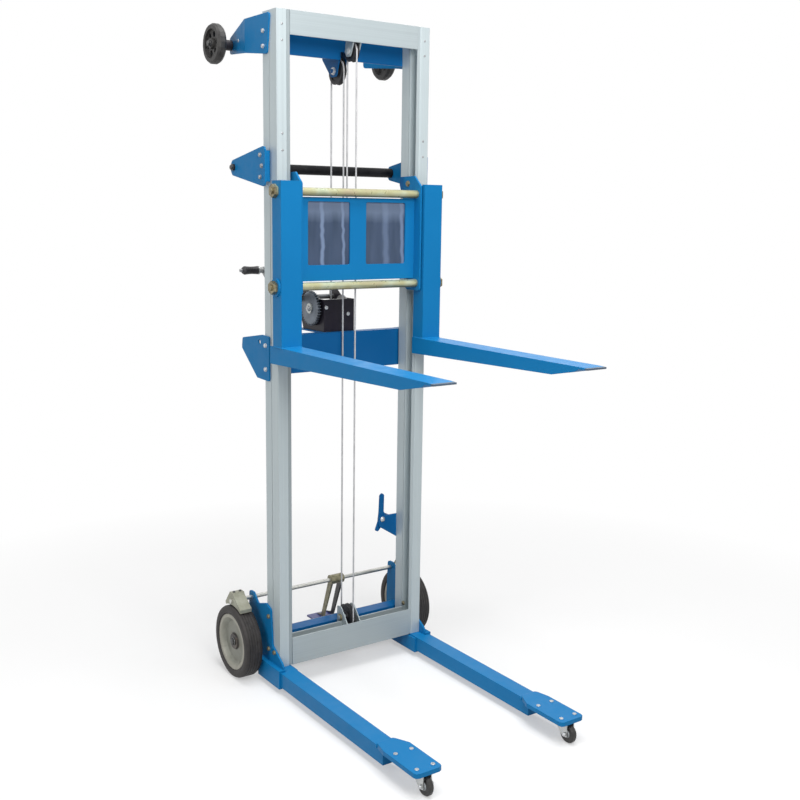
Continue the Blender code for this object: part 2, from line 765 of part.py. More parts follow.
GEAR_PITCH = GEAR_TEETH * GEAR_MODULE / 2
PINION_PITCH = PINION_TEETH * GEAR_MODULE / 2
CENTRE_DISTANCE = GEAR_PITCH + PINION_PITCH + GAP
SHAFT_Y = DRUM_Y + math.sqrt(CENTRE_DISTANCE ** 2 - SHAFT_RISE ** 2)
SHAFT_Z = DRUM_Z + SHAFT_RISE


def winch_crossmember():
    """Blue angle behind the fixed columns with its two side plates and the winch's platform."""
    front = MAST_REAR_Y + 0.008
    section = [
        (front, SHELF_BOTTOM),
        (front, SHELF_TOP),
        (front + SHELF_FLANGE, SHELF_TOP),
        (front + SHELF_FLANGE, SHELF_TOP - SHEET),
        (front + SHEET, SHELF_TOP - SHEET),
        (front + SHEET, SHELF_BOTTOM + SHEET),
        (front + SHELF_FLANGE, SHELF_BOTTOM + SHEET),
        (front + SHELF_FLANGE, SHELF_BOTTOM),
    ]
    width = 2 * (BRACKET_X + BRACKET / 2)
    shelf = plate("winch_crossmember", [section], width, SIDE_ON, 0, BLUE_PAINT)
    rear = front + 0.117
    outline = rounded([
        (0.041, SHELF_TOP + 0.004),
        (0.041, SHELF_BOTTOM - 0.010),
        (0.108, SHELF_BOTTOM - 0.008),
        (rear, SHELF_TOP - 0.040),
        (rear - 0.004, SHELF_TOP - 0.012),
        (front + 0.002, SHELF_TOP + 0.006),
    ], 0.006)
    holes = [circle((0.094, SHELF_TOP - 0.014), 0.006, 16), circle((0.058, SHELF_BOTTOM + 0.020), 0.004, 12)]
    for side in (-1, 1):
        at = side * (BRACKET_X + BRACKET / 2)
        union(shelf, plate(f"shelf_side_{side}", [outline] + holes, BRACKET, SIDE_ON, at, cutter=True))
    platform = box("winch_platform", (FRAME_LEFT_X - 0.006, front + 0.010, SHELF_TOP - SHEET),
                   (FRAME_RIGHT_X + 0.006, SHAFT_Y + 0.026, SHELF_TOP), cutter=True)
    union(shelf, platform)


def winch_frame():
    """Black U-shaped frame: a front web and two side plates with the drum and crank bearings."""
    bottom = SHELF_TOP + GAP
    top = DRUM_Z + 0.027
    rear = SHAFT_Y + 0.020
    section = [
        (FRAME_LEFT_X, rear),
        (FRAME_LEFT_X, FRAME_FRONT_Y),
        (FRAME_RIGHT_X, FRAME_FRONT_Y),
        (FRAME_RIGHT_X, rear),
        (FRAME_RIGHT_X - FRAME_WALL, rear),
        (FRAME_RIGHT_X - FRAME_WALL, FRAME_FRONT_Y + FRAME_WALL),
        (FRAME_LEFT_X + FRAME_WALL, FRAME_FRONT_Y + FRAME_WALL),
        (FRAME_LEFT_X + FRAME_WALL, rear),
    ]
    height = SHAFT_Z + 0.022 - bottom
    frame = plate("winch_frame", [section], height, TOP_ON, bottom + height / 2, BLACK_PAINT)
    notch = [
        (FRAME_FRONT_Y - 0.01, top),
        (DRUM_Y + 0.004, top),
        (SHAFT_Y - 0.016, SHAFT_Z + 0.023),
        (SHAFT_Y - 0.016, SHAFT_Z + 0.040),
        (FRAME_FRONT_Y - 0.01, SHAFT_Z + 0.040),
    ]
    heel = [
        (SHAFT_Y + 0.003, bottom - 0.01),
        (rear + 0.01, bottom - 0.01),
        (rear + 0.01, SHAFT_Z - 0.026),
    ]
    span = FRAME_RIGHT_X - FRAME_LEFT_X + 0.02
    middle = (FRAME_RIGHT_X + FRAME_LEFT_X) / 2
    cut(frame, plate("winch_notch", [notch], span, SIDE_ON, middle, cutter=True),
        plate("winch_heel", [heel], span, SIDE_ON, middle, cutter=True))
    holes = (((DRUM_Y, DRUM_Z), DRUM_SHAFT_RADIUS), ((SHAFT_Y, SHAFT_Z), CRANK_SHAFT_RADIUS))
    for index, (centre, radius) in enumerate(holes):
        hole = cylinder(f"winch_bearing_{index}", (middle - span / 2, *centre), (middle + span / 2, *centre),
                        radius + GAP, cutter=True)
        cut(frame, hole)


def winch_drum():
    """Rope drum on its shaft, with the big gear fixed outside the left side plate."""
    left = FRAME_LEFT_X + FRAME_WALL + 0.001
    right = FRAME_RIGHT_X - FRAME_WALL - 0.001
    shaft_end = FRAME_RIGHT_X + 0.006
    gear_right = GEAR_X + GEAR_FACE / 2
    flange = 0.003
    profile = [
        (0, shaft_end), (DRUM_SHAFT_RADIUS, shaft_end), (DRUM_SHAFT_RADIUS, right),
        (DRUM_FLANGE_RADIUS, right), (DRUM_FLANGE_RADIUS, right - flange), (DRUM_RADIUS, right - flange),
        (DRUM_RADIUS, left + flange), (DRUM_FLANGE_RADIUS, left + flange), (DRUM_FLANGE_RADIUS, left),
        (DRUM_SHAFT_RADIUS, left), (DRUM_SHAFT_RADIUS, gear_right + 0.002), (0.014, gear_right + 0.002),
        (0.014, GEAR_X - GEAR_FACE / 2 - 0.003), (0, GEAR_X - GEAR_FACE / 2 - 0.003),
    ]
    drum = turned("winch_drum", profile, PLAIN_STEEL, steps=24)
    place(drum, Matrix.Translation((0, DRUM_Y, DRUM_Z)) @ ALONG_X)
    toothed = gear_outline(GEAR_TEETH, GEAR_MODULE, GEAR_BACKLASH, mesh_angle())
    gear = plate("drum_gear", [toothed], GEAR_FACE, SIDE_ON, 0, cutter=True)
    place(gear, Matrix.Translation((GEAR_X, DRUM_Y, DRUM_Z)) @ SIDE_ON)
    union(drum, gear)


def mesh_angle():
    """Direction from the drum's axis to the crank shaft's, seen along X."""
    return math.atan2(SHAFT_RISE, SHAFT_Y - DRUM_Y)


def crank_direction():
    """Direction of the crank arm: its lift is set, and it points to the rear."""
    return math.sqrt(CRANK_LENGTH ** 2 - CRANK_LIFT ** 2), CRANK_LIFT


def crank():
    """Crank shaft with its pinion, the flat arm and the pin of the grip."""
    reach, lift = crank_direction()
    left = CRANK_ARM_X - CRANK_ARM / 2
    right = FRAME_RIGHT_X + 0.006
    profile = [
        (0, right), (CRANK_SHAFT_RADIUS, right), (CRANK_SHAFT_RADIUS, left - 0.008), (0, left - 0.008),
    ]
    shaft = turned("crank", profile, PLAIN_STEEL, steps=16)
    place(shaft, Matrix.Translation((0, SHAFT_Y, SHAFT_Z)) @ ALONG_X)
    phase = mesh_angle() + math.pi + math.pi / PINION_TEETH
    toothed = gear_outline(PINION_TEETH, GEAR_MODULE, GEAR_BACKLASH, phase)
    pinion = plate("pinion", [toothed], GEAR_FACE, SIDE_ON, 0, cutter=True)
    place(pinion, Matrix.Translation((GEAR_X, SHAFT_Y, SHAFT_Z)) @ SIDE_ON)
    hub = cylinder("crank_hub", (GEAR_X - GEAR_FACE / 2 - 0.004, SHAFT_Y, SHAFT_Z),
                   (CRANK_ARM_X, SHAFT_Y, SHAFT_Z), 0.012, cutter=True)
    grip_y, grip_z = SHAFT_Y + reach, SHAFT_Z + lift
    half = CRANK_ARM_WIDTH / 2
    across = Vector((-lift, reach)).normalized() * half
    shaft_at, grip_at = Vector((SHAFT_Y, SHAFT_Z)), Vector((grip_y, grip_z))
    along = (grip_at - shaft_at).normalized() * half
    outline = rounded([
        tuple(shaft_at - along + across), tuple(shaft_at - along - across),
        tuple(grip_at + along - across), tuple(grip_at + along + across),
    ], half * 0.9, steps=6)
    arm = plate("crank_arm", [outline], CRANK_ARM, SIDE_ON, CRANK_ARM_X, cutter=True)
    pin = cylinder("grip_pin", (CRANK_ARM_X, grip_y, grip_z),
                   (left - GRIP_LENGTH - 0.008, grip_y, grip_z), 0.0045, cutter=True, sides=16)
    union(shaft, pinion, hub, arm, pin)


def crank_grip():
    """Waisted black grip that turns on the crank's pin."""
    reach, lift = crank_direction()
    left = CRANK_ARM_X - CRANK_ARM / 2 - GAP
    bore = 0.0045 + GAP
    radius = GRIP_RADIUS
    length = GRIP_LENGTH
    waist = []
    for i in range(7):
        narrowing = 1 - 0.14 * math.sin(math.pi * i / 6)
        waist.append((radius * narrowing, -0.012 - (length - 0.018) * i / 6))
    profile = [(bore, 0), (0.0085, 0), (0.0085, -0.010)] + waist + [(radius * 0.7, -length), (bore, -length)]
    grip = turned("crank_grip", profile, BLACK_RUBBER, steps=20, closed=True)
    place(grip, Matrix.Translation((left, SHAFT_Y + reach, SHAFT_Z + lift)) @ ALONG_X)


# Base

def legs():
    """Leg tubes with the shallow pressed plates that carry the casters welded over their front ends."""
    for side_name, side in SIDES:
        centre = side * LEG_CENTRE_X
        half = LEG_WIDTH / 2
        bottom = LEG_TOP - LEG_HEIGHT
        leg = box(f"leg_{side_name}", (centre - half, LEG_FRONT_Y, bottom), (centre + half, LEG_REAR_Y, LEG_TOP),
                  BLUE_PAINT)
        hollow = box(f"leg_hollow_{side_name}",
                     (centre - half + LEG_WALL, LEG_FRONT_Y + LEG_WALL, bottom + LEG_WALL),
                     (centre + half - LEG_WALL, LEG_REAR_Y + 0.01, LEG_TOP - LEG_WALL), cutter=True)
        at = side * PAN_CENTRE_X
        wide = PAN_WIDTH / 2
        slope = PAN_REAR_Y - 0.040
        pan = rounded([
            (centre - half, PAN_REAR_Y), (centre + half, PAN_REAR_Y), (at + wide, slope),
            (at + wide, PAN_FRONT_Y), (at - wide, PAN_FRONT_Y), (at - wide, slope),
        ], 0.010)
        inset = wide - PAN_WALL
        recess = rounded([
            (at + inset, LEG_FRONT_Y - PAN_WALL), (at + inset, PAN_FRONT_Y + PAN_WALL),
            (at - inset, PAN_FRONT_Y + PAN_WALL), (at - inset, LEG_FRONT_Y - PAN_WALL),
        ], 0.008)
        top = LEG_TOP + PAN_PLATE
        skirt = top - PAN_SKIRT
        shell = plate(f"pan_{side_name}", [pan], PAN_SKIRT, TOP_ON, (top + skirt) / 2, cutter=True)
        depth = LEG_TOP - skirt + 0.01
        cut(shell, plate(f"pan_recess_{side_name}", [recess], depth, TOP_ON, LEG_TOP - depth / 2, cutter=True),
            cylinder(f"pan_hole_{side_name}", (at, CASTER_Y, LEG_TOP - 0.01), (at, CASTER_Y, top - 0.0015),
                     CASTER_STEM_RADIUS + GAP, cutter=True, sides=20))
        union(leg, shell)
        cut(leg, hollow)


def casters():
    """Swivel casters: a pressed yoke under each plate and a wheel ahead of its swivel axis."""
    for side_name, side in SIDES:
        x = side * PAN_CENTRE_X
        wheel_y = CASTER_Y - CASTER_TRAIL
        inner = CASTER_WHEEL_WIDTH / 2 + 0.001
        outer = inner + CASTER_YOKE_WALL
        roof = CASTER_WHEEL_RADIUS * 2 + 0.002
        yoke = cylinder(f"caster_yoke_{side_name}", (x, CASTER_Y, roof), (x, CASTER_Y, LEG_TOP - GAP),
                        CASTER_BEARING_RADIUS, PLAIN_STEEL, sides=24)
        stem = cylinder(f"caster_stem_{side_name}", (x, CASTER_Y, roof + 0.002),
                        (x, CASTER_Y, LEG_TOP + PAN_PLATE - 0.002), CASTER_STEM_RADIUS, cutter=True, sides=16)
        hood = box(f"caster_hood_{side_name}", (x - outer, wheel_y - 0.006, roof),
                   (x + outer, CASTER_Y, roof + 0.003), cutter=True)
        union(yoke, stem, hood)
        cheek = rounded([
            (CASTER_Y + 0.010, roof + 0.0015),
            (wheel_y - 0.006, roof + 0.0015),
            (wheel_y - 0.008, CASTER_WHEEL_RADIUS - 0.006),
            (wheel_y + 0.008, CASTER_WHEEL_RADIUS - 0.008),
        ], 0.004, steps=2)
        for cheek_side in (-1, 1):
            at = x + cheek_side * (inner + outer) / 2
            union(yoke, plate(f"caster_cheek_{side_name}_{cheek_side}", [cheek], CASTER_YOKE_WALL, SIDE_ON, at,
                              cutter=True))
        union(yoke, cylinder(f"caster_pin_{side_name}", (x - outer - 0.002, wheel_y, CASTER_WHEEL_RADIUS),
                             (x + outer + 0.002, wheel_y, CASTER_WHEEL_RADIUS), CASTER_PIN_RADIUS, cutter=True,
                             sides=14))
        half = CASTER_WHEEL_WIDTH / 2
        bore = CASTER_PIN_RADIUS + GAP
        rim = CASTER_WHEEL_RADIUS
        flank = [(bore, half), (0.009, half), (0.010, half * 0.7), (rim - 0.003, half * 0.8), (rim, half * 0.4)]
        profile = flank + [(radius, -height) for radius, height in reversed(flank)]
        wheel = turned(f"caster_wheel_{side_name}", profile, BLACK_RUBBER, steps=24, closed=True)
        place(wheel, Matrix.Translation((x, wheel_y, rim)) @ ALONG_X)


def base_frame():
    """Welded base: leg sockets, a channel behind the column feet and side plates for axle and brake rod."""
    front = MAST_REAR_Y + 0.010
    rear = front + BASE_CROSS_DEPTH
    section = [
        (front, BASE_CROSS_BOTTOM),
        (front, BASE_CROSS_TOP),
        (rear, BASE_CROSS_TOP),
        (rear, BASE_CROSS_TOP - SHEET),
        (front + SHEET, BASE_CROSS_TOP - SHEET),
        (front + SHEET, BASE_CROSS_BOTTOM + SHEET),
        (rear, BASE_CROSS_BOTTOM + SHEET),
        (rear, BASE_CROSS_BOTTOM),
    ]
    plate_x = SIDE_PLATE_INNER_X + SIDE_PLATE / 2
    frame = plate("base_frame", [section], 2 * plate_x, SIDE_ON, 0, BLUE_PAINT)
    foot = LEG_TOP + GAP + SIDE_PLATE / 2
    outline = rounded([
        (SOCKET_FRONT_Y, foot),
        (SOCKET_FRONT_Y + 0.010, 0.080),
        (0.034, 0.112),
        (0.042, 0.212),
        (0.069, 0.222),
        (0.115, 0.207),
        (BRAKE_Y - 0.012, BRAKE_Z + 0.017),
        (BRAKE_Y + 0.014, BRAKE_Z + 0.017),
        (BRAKE_Y + 0.016, BRAKE_Z - 0.014),
        (WHEEL_Y + 0.026, WHEEL_RADIUS + 0.026),
        (WHEEL_Y + 0.026, WHEEL_RADIUS - 0.026),
        (SOCKET_REAR_Y, foot),
    ], 0.008)
    holes = [
        circle((WHEEL_Y, WHEEL_RADIUS), AXLE_RADIUS + GAP),
        circle((BRAKE_Y, BRAKE_Z), BRAKE_ROD_RADIUS + GAP, 20),
    ]
    inner = LEG_CENTRE_X - LEG_WIDTH / 2 - GAP
    outer = LEG_CENTRE_X + LEG_WIDTH / 2 + GAP
    bottom = LEG_TOP - LEG_HEIGHT - GAP
    wall = SIDE_PLATE
    socket = [
        (inner - wall, LEG_TOP - 0.003),
        (inner, LEG_TOP - 0.003),
        (inner, bottom),
        (outer, bottom),
        (outer, LEG_TOP + GAP),
        (SIDE_PLATE_INNER_X, LEG_TOP + GAP),
        (SIDE_PLATE_INNER_X, LEG_TOP + GAP + wall),
        (outer + wall, LEG_TOP + GAP + wall),
        (outer + wall, bottom - wall),
        (inner - wall, bottom - wall),
    ]
    for side in (-1, 1):
        union(frame, plate(f"base_side_{side}", [outline] + holes, SIDE_PLATE, SIDE_ON, side * plate_x, cutter=True))
        length = SOCKET_REAR_Y - SOCKET_FRONT_Y
        middle = (SOCKET_REAR_Y + SOCKET_FRONT_Y) / 2
        union(frame, plate(f"leg_socket_{side}", [mirrored(socket, side)], length, FACE_ON, -middle, cutter=True))


def rear_axle():
    inner = WHEEL_OUTER_X - WHEEL_WIDTH
    collar = inner - GAP
    end = WHEEL_OUTER_X - HUB_RECESS + 0.002
    plate_out = SIDE_PLATE_INNER_X + SIDE_PLATE + GAP
    profile = [
        (0, end), (AXLE_RADIUS, end), (AXLE_RADIUS, collar), (AXLE_COLLAR_RADIUS, collar),
        (AXLE_COLLAR_RADIUS, plate_out), (AXLE_RADIUS, plate_out),
    ]
    profile += [(radius, -height) for radius, height in reversed(profile)]
    axle = turned("rear_axle", profile, PLAIN_STEEL, steps=20)
    place(axle, Matrix.Translation((0, WHEEL_Y, WHEEL_RADIUS)) @ ALONG_X)


def rear_wheels():
    """Solid rubber tyres on dished rims."""
    half = WHEEL_WIDTH / 2
    seat = RIM_RADIUS + GAP
    tread = WHEEL_RADIUS
    round_edge = 0.010
    shoulder = [
        (tread - round_edge * (1 - math.sin(math.pi / 2 * i / 3)), half - round_edge * (1 - math.cos(math.pi / 2 * i / 3)))
        for i in range(4)
    ]
    tyre = [(seat, half - 0.003)] + shoulder
    tyre += [(radius, -height) for radius, height in reversed(tyre)]
    lip = RIM_RADIUS - 0.009
    bore = AXLE_RADIUS + GAP
    dish = [
        (bore, half - HUB_RECESS), (HUB_RADIUS, half - HUB_RECESS), (HUB_RADIUS + 0.002, half - 0.014),
        (lip - 0.012, half - 0.015),
        (lip, half - 0.003), (RIM_RADIUS, half - 0.003), (RIM_RADIUS, -half + 0.003), (lip, -half + 0.003),
        (lip - 0.012, half - 0.021), (HUB_RADIUS + 0.002, half - 0.018), (HUB_RADIUS, -half), (bore, -half),
    ]
    for side_name, side in SIDES:
        middle = side * (WHEEL_OUTER_X - half)
        facing = ALONG_X if side > 0 else Matrix.Rotation(-math.pi / 2, 4, "Y")
        for name, profile, finish in (("tyre", tyre, BLACK_RUBBER), ("rim", dish, PLAIN_STEEL)):
            obj = turned(f"{name}_{side_name}", profile, finish, steps=32, closed=True)
            place(obj, Matrix.Translation((middle, WHEEL_Y, WHEEL_RADIUS)) @ facing)


# Brake

def brake_rod():
    """Cross rod in the side plates with its clamp and pedal near the middle."""
    end = WHEEL_OUTER_X - 0.004
    rod = cylinder("brake_rod", (-end, BRAKE_Y, BRAKE_Z), (end, BRAKE_Y, BRAKE_Z), BRAKE_ROD_RADIUS, PLAIN_STEEL,
                   sides=20)
    clamp = cylinder("brake_clamp", (PEDAL_X - 0.021, BRAKE_Y, BRAKE_Z), (PEDAL_X + 0.021, BRAKE_Y, BRAKE_Z), 0.014,
                     cutter=True, sides=20)
    arm = rounded([
        (BRAKE_Y - 0.010, BRAKE_Z - 0.002),
        (BRAKE_Y + 0.010, BRAKE_Z + 0.002),
        (BRAKE_Y + 0.052, BRAKE_Z - 0.120),
        (BRAKE_Y + 0.086, BRAKE_Z - 0.130),
        (BRAKE_Y + 0.084, BRAKE_Z - 0.138),
        (BRAKE_Y + 0.042, BRAKE_Z - 0.130),
    ], 0.003, steps=2)
    union(rod, clamp)
    for side in (-1, 1):
        union(rod, plate(f"brake_arm_{side}", [arm], 0.005, SIDE_ON, PEDAL_X + side * 0.016, cutter=True))
    tread = box("brake_tread", (PEDAL_X - PEDAL_WIDTH * 0.7, BRAKE_Y + 0.050, BRAKE_Z - 0.134),
                (PEDAL_X + PEDAL_WIDTH * 0.3, BRAKE_Y + 0.084, BRAKE_Z - 0.129), cutter=True)
    union(rod, tread)


def brake_shoes():
    """Cast shoes clamped on the rod ends, hollowed to the tyre with their running clearance."""
    middle_x = WHEEL_OUTER_X - WHEEL_WIDTH / 2
    clear = WHEEL_RADIUS + SHOE_CLEARANCE
    angles = [math.radians(66 + 50 * i / 8) for i in range(9)]
    under = [(WHEEL_Y + clear * math.cos(a), WHEEL_RADIUS + clear * math.sin(a)) for a in angles]
    outline = under + [
        (under[-1][0] - 0.001, under[-1][1] + 0.010),
        (BRAKE_Y - 0.014, BRAKE_Z + 0.016),
        (BRAKE_Y - 0.008, BRAKE_Z + 0.024),
        (BRAKE_Y + 0.010, BRAKE_Z + 0.024),
        (under[0][0] + 0.002, under[0][1] + 0.008),
    ]
    hole = circle((BRAKE_Y, BRAKE_Z), BRAKE_ROD_RADIUS + GAP, 20)
    for side_name, side in SIDES:
        x = side * middle_x
        shoe = plate(f"brake_shoe_{side_name}", [outline, hole], SHOE_WIDTH, SIDE_ON, x, PLAIN_STEEL)
        pivot_at(shoe, (x, BRAKE_Y, BRAKE_Z))


# Mast latch

def latch():
    """Transport latch on the back of the right column: a bent bracket and its hooked lever."""
    wall = SHEET
    back = MAST_REAR_Y + GAP
    arm = rounded([
        (COLUMN_OUTER_X - 0.006, LATCH_Z - 0.062),
        (COLUMN_OUTER_X - 0.006, LATCH_Z + 0.010),
        (LATCH_X - 0.012, LATCH_Z + 0.010),
        (LATCH_X - 0.012, LATCH_Z - 0.020),
        (COLUMN_INNER_X + 0.006, LATCH_Z - 0.062),
    ], 0.006)
    hole = circle((LATCH_X, LATCH_Z), LATCH_PIN_RADIUS + GAP, 16)
    bracket = plate("latch_bracket", [arm, hole], wall, FACE_ON, -(back + wall / 2), BLUE_PAINT)
    ear = box("latch_ear", (LATCH_X + 0.020, back + wall / 2, LATCH_Z - 0.030),
              (LATCH_X + 0.020 + wall, back + 0.030, LATCH_Z + 0.010), cutter=True)
    union(bracket, ear)
    lever_front = back + wall + GAP
    lever_outline = rounded([
        (LATCH_X - 0.012, LATCH_Z - 0.006),
        (LATCH_X - 0.009, LATCH_Z + 0.022),
        (LATCH_X - 0.007, LATCH_Z + 0.070),
        (LATCH_X + 0.001, LATCH_Z + 0.077),
        (LATCH_X + 0.008, LATCH_Z + 0.070),
        (LATCH_X + 0.007, LATCH_Z + 0.022),
        (LATCH_X + 0.013, LATCH_Z + 0.008),
        (LATCH_X + 0.009, LATCH_Z - 0.012),
        (LATCH_X - 0.012, LATCH_Z - 0.036),
        (LATCH_X - 0.022, LATCH_Z - 0.032),
    ], 0.004, steps=2)
    lever = plate("latch_lever", [lever_outline], wall, FACE_ON, -(lever_front + wall / 2), BLUE_PAINT)
    pin = cylinder("latch_pin", (LATCH_X, MAST_REAR_Y - 0.004, LATCH_Z), (LATCH_X, lever_front + wall + 0.004, LATCH_Z),
                   LATCH_PIN_RADIUS, cutter=True, sides=16)
    union(lever, pin)
    pivot_at(lever, (LATCH_X, lever_front, LATCH_Z))


# Carriage

def carriage_panel():
    """Blue front panel with two windows, its centre post, and the strap that holds the rope's end."""
    low, high = LOWER_BAR_Z + BAR_RADIUS + 0.002, UPPER_BAR_Z - BAR_RADIUS - 0.002
    edge = SIDE_INNER_X - GAP
    outline = [(-edge, low), (edge, low), (edge, high), (-edge, high)]
    windows = [
        rounded([(side * WINDOW_INNER_X, WINDOW_BOTTOM), (side * WINDOW_OUTER_X, WINDOW_BOTTOM),
                 (side * WINDOW_OUTER_X, WINDOW_TOP), (side * WINDOW_INNER_X, WINDOW_TOP)], 0.004, steps=2)
        for side in (-1, 1)
    ]
    middle = PANEL_FRONT_Y + PANEL / 2
    panel = plate("carriage_panel", [outline] + windows, PANEL, FACE_ON, -middle, BLUE_PAINT)
    rear = CARRIAGE_ROPE_Y + 0.008
    strap = box("rope_strap", (PULLEY_X + 0.008, middle, low), (PULLEY_X + 0.024, rear, low + STRAP), cutter=True)
    hook = box("rope_hook", (PULLEY_X - 0.008, CARRIAGE_ROPE_Y - 0.008, low), (PULLEY_X + 0.020, rear, low + STRAP),
               cutter=True)
    thimble = cylinder("rope_thimble", (PULLEY_X, CARRIAGE_ROPE_Y, low + STRAP / 2),
                       (PULLEY_X, CARRIAGE_ROPE_Y, ROPE_END_Z - GAP), 0.006, cutter=True, sides=14)
    union(panel, strap, hook, thimble)


ROPE_END_Z = LOWER_BAR_Z + 0.050
STRAP = 0.005


def windows():
    middle = PANEL_FRONT_Y + PANEL + GAP + WINDOW_SHEET / 2
    for side_name, side in SIDES:
        near, far = WINDOW_INNER_X - WINDOW_LAP, WINDOW_OUTER_X + WINDOW_LAP
        low = (min(side * near, side * far), middle - WINDOW_SHEET / 2, WINDOW_BOTTOM - WINDOW_LAP)
        high = (max(side * near, side * far), middle + WINDOW_SHEET / 2, WINDOW_TOP + WINDOW_LAP)
        box(f"window_{side_name}", low, high, SMOKED_SHEET)


def carriage_sides():
    """Side plates that reach back between the columns and hold the roller pins and both bars."""
    roller_y = MOVING_DEPTH / 2
    outline = rounded([
        (BAR_Y - 0.018, LOWER_BAR_Z - 0.020),
        (BAR_Y - 0.018, UPPER_BAR_Z + 0.021),
        (-0.010, UPPER_ROLLER_Z + 0.020),
        (0.058, UPPER_ROLLER_Z + 0.018),
        (0.058, UPPER_ROLLER_Z - 0.004),
        (0.039, UPPER_ROLLER_Z - 0.048),
        (PANEL_FRONT_Y + 0.010, UPPER_ROLLER_Z - 0.145),
        (PANEL_FRONT_Y + 0.010, LOWER_ROLLER_Z + 0.040),
        (roller_y + 0.014, LOWER_ROLLER_Z + 0.018),
        (roller_y + 0.014, LOWER_ROLLER_Z - 0.016),
        (roller_y, LOWER_BAR_Z - 0.020),
    ], 0.006)
    holes = [circle((BAR_Y, z), BAR_RADIUS + GAP) for z in (UPPER_BAR_Z, LOWER_BAR_Z)]
    for side_name, side in SIDES:
        at = side * (SIDE_INNER_X + CARRIAGE_SIDE / 2)
        obj = plate(f"carriage_side_{side_name}", [outline] + holes, CARRIAGE_SIDE, SIDE_ON, at, BLUE_PAINT)
        for name, z in (("upper", UPPER_ROLLER_Z), ("lower", LOWER_ROLLER_Z)):
            start = (side * (SIDE_INNER_X + CARRIAGE_SIDE / 2), roller_y, z)
            end = (side * (ROLLER_OUTER_X + 0.0015), roller_y, z)
            union(obj, cylinder(f"roller_pin_{side_name}_{name}", start, end, ROLLER_PIN_RADIUS, cutter=True,
                                sides=16))


ROLLER_OUTER_X = COLUMN_OUTER_X - COLUMN_WALL - 0.003


def rollers():
    half = ROLLER_WIDTH / 2
    bore = ROLLER_PIN_RADIUS + GAP
    rim = ROLLER_RADIUS
    profile = [(bore, half), (rim - 0.002, half), (rim, half - 0.002), (rim, -half + 0.002), (rim - 0.002, -half),
               (bore, -half)]
    for side_name, side in SIDES:
        for name, z in (("upper", UPPER_ROLLER_Z), ("lower", LOWER_ROLLER_Z)):
            obj = turned(f"roller_{name}_{side_name}", profile, BLACK_PLASTIC, steps=20, closed=True)
            centre = (side * (ROLLER_OUTER_X - half), MOVING_DEPTH / 2, z)
            place(obj, Matrix.Translation(centre) @ ALONG_X)


def bars():
    """Plated cross bars through the side plates and uprights, with a nut on each end."""
    for name, z, seat in (("upper_bar", UPPER_BAR_Z, 0), ("lower_bar", LOWER_BAR_Z, BAR_BOSS)):
        end = UPRIGHT_OUTER_X + seat + GAP
        core = end + BAR_NUT / 2
        obj = cylinder(name, (-core, BAR_Y, z), (core, BAR_Y, z), BAR_RADIUS, YELLOW_ZINC)
        for side in (-1, 1):
            nut = cylinder(f"{name}_nut_{side}", (side * end, BAR_Y, z), (side * (end + BAR_NUT), BAR_Y, z),
                           BAR_NUT_RADIUS, cutter=True, sides=6)
            stud = cylinder(f"{name}_stud_{side}", (side * (core - 0.002), BAR_Y, z),
                            (side * (end + BAR_NUT + 0.004), BAR_Y, z), BAR_RADIUS * 0.75, cutter=True, sides=16)
            union(obj, nut, stud)


def fork_upright(side_name, side):
    """Channel open to the rear; its inner flange widens downwards from the upper bar."""
    bottom = FORK_TOP - FORK_WALL / 2
    wall = UPRIGHT_WALL
    inner, outer = UPRIGHT_INNER_X, UPRIGHT_OUTER_X
    section = [
        (inner, UPRIGHT_FRONT_Y),
        (outer, UPRIGHT_FRONT_Y),
        (outer, UPRIGHT_REAR_Y),
        (outer - wall, UPRIGHT_REAR_Y),
        (outer - wall, UPRIGHT_FRONT_Y + wall),
        (inner + wall, UPRIGHT_FRONT_Y + wall),
        (inner + wall, UPRIGHT_REAR_Y),
        (inner, UPRIGHT_REAR_Y),
    ]
    height = UPRIGHT_TOP - bottom
    upright = plate(f"upright_{side_name}", [mirrored(section, side)], height, TOP_ON, bottom + height / 2,
                    cutter=True)
    taper = [
        (UPRIGHT_REAR_Y + 0.01, UPRIGHT_TOP + 0.01),
        (UPRIGHT_FRONT_Y + 0.012, UPRIGHT_TOP + 0.01),
        (UPRIGHT_FRONT_Y + 0.012, UPRIGHT_TOP - 0.002),
        (BAR_Y + BAR_RADIUS + 0.004, UPPER_BAR_Z - 0.010),
        (UPRIGHT_REAR_Y, LOWER_BAR_Z + 0.020),
        (UPRIGHT_REAR_Y + 0.01, LOWER_BAR_Z + 0.020),
    ]
    at = side * (inner + wall / 2)
    cut(upright, plate(f"upright_taper_{side_name}", [taper], wall + 0.004, SIDE_ON, at, cutter=True))
    return upright


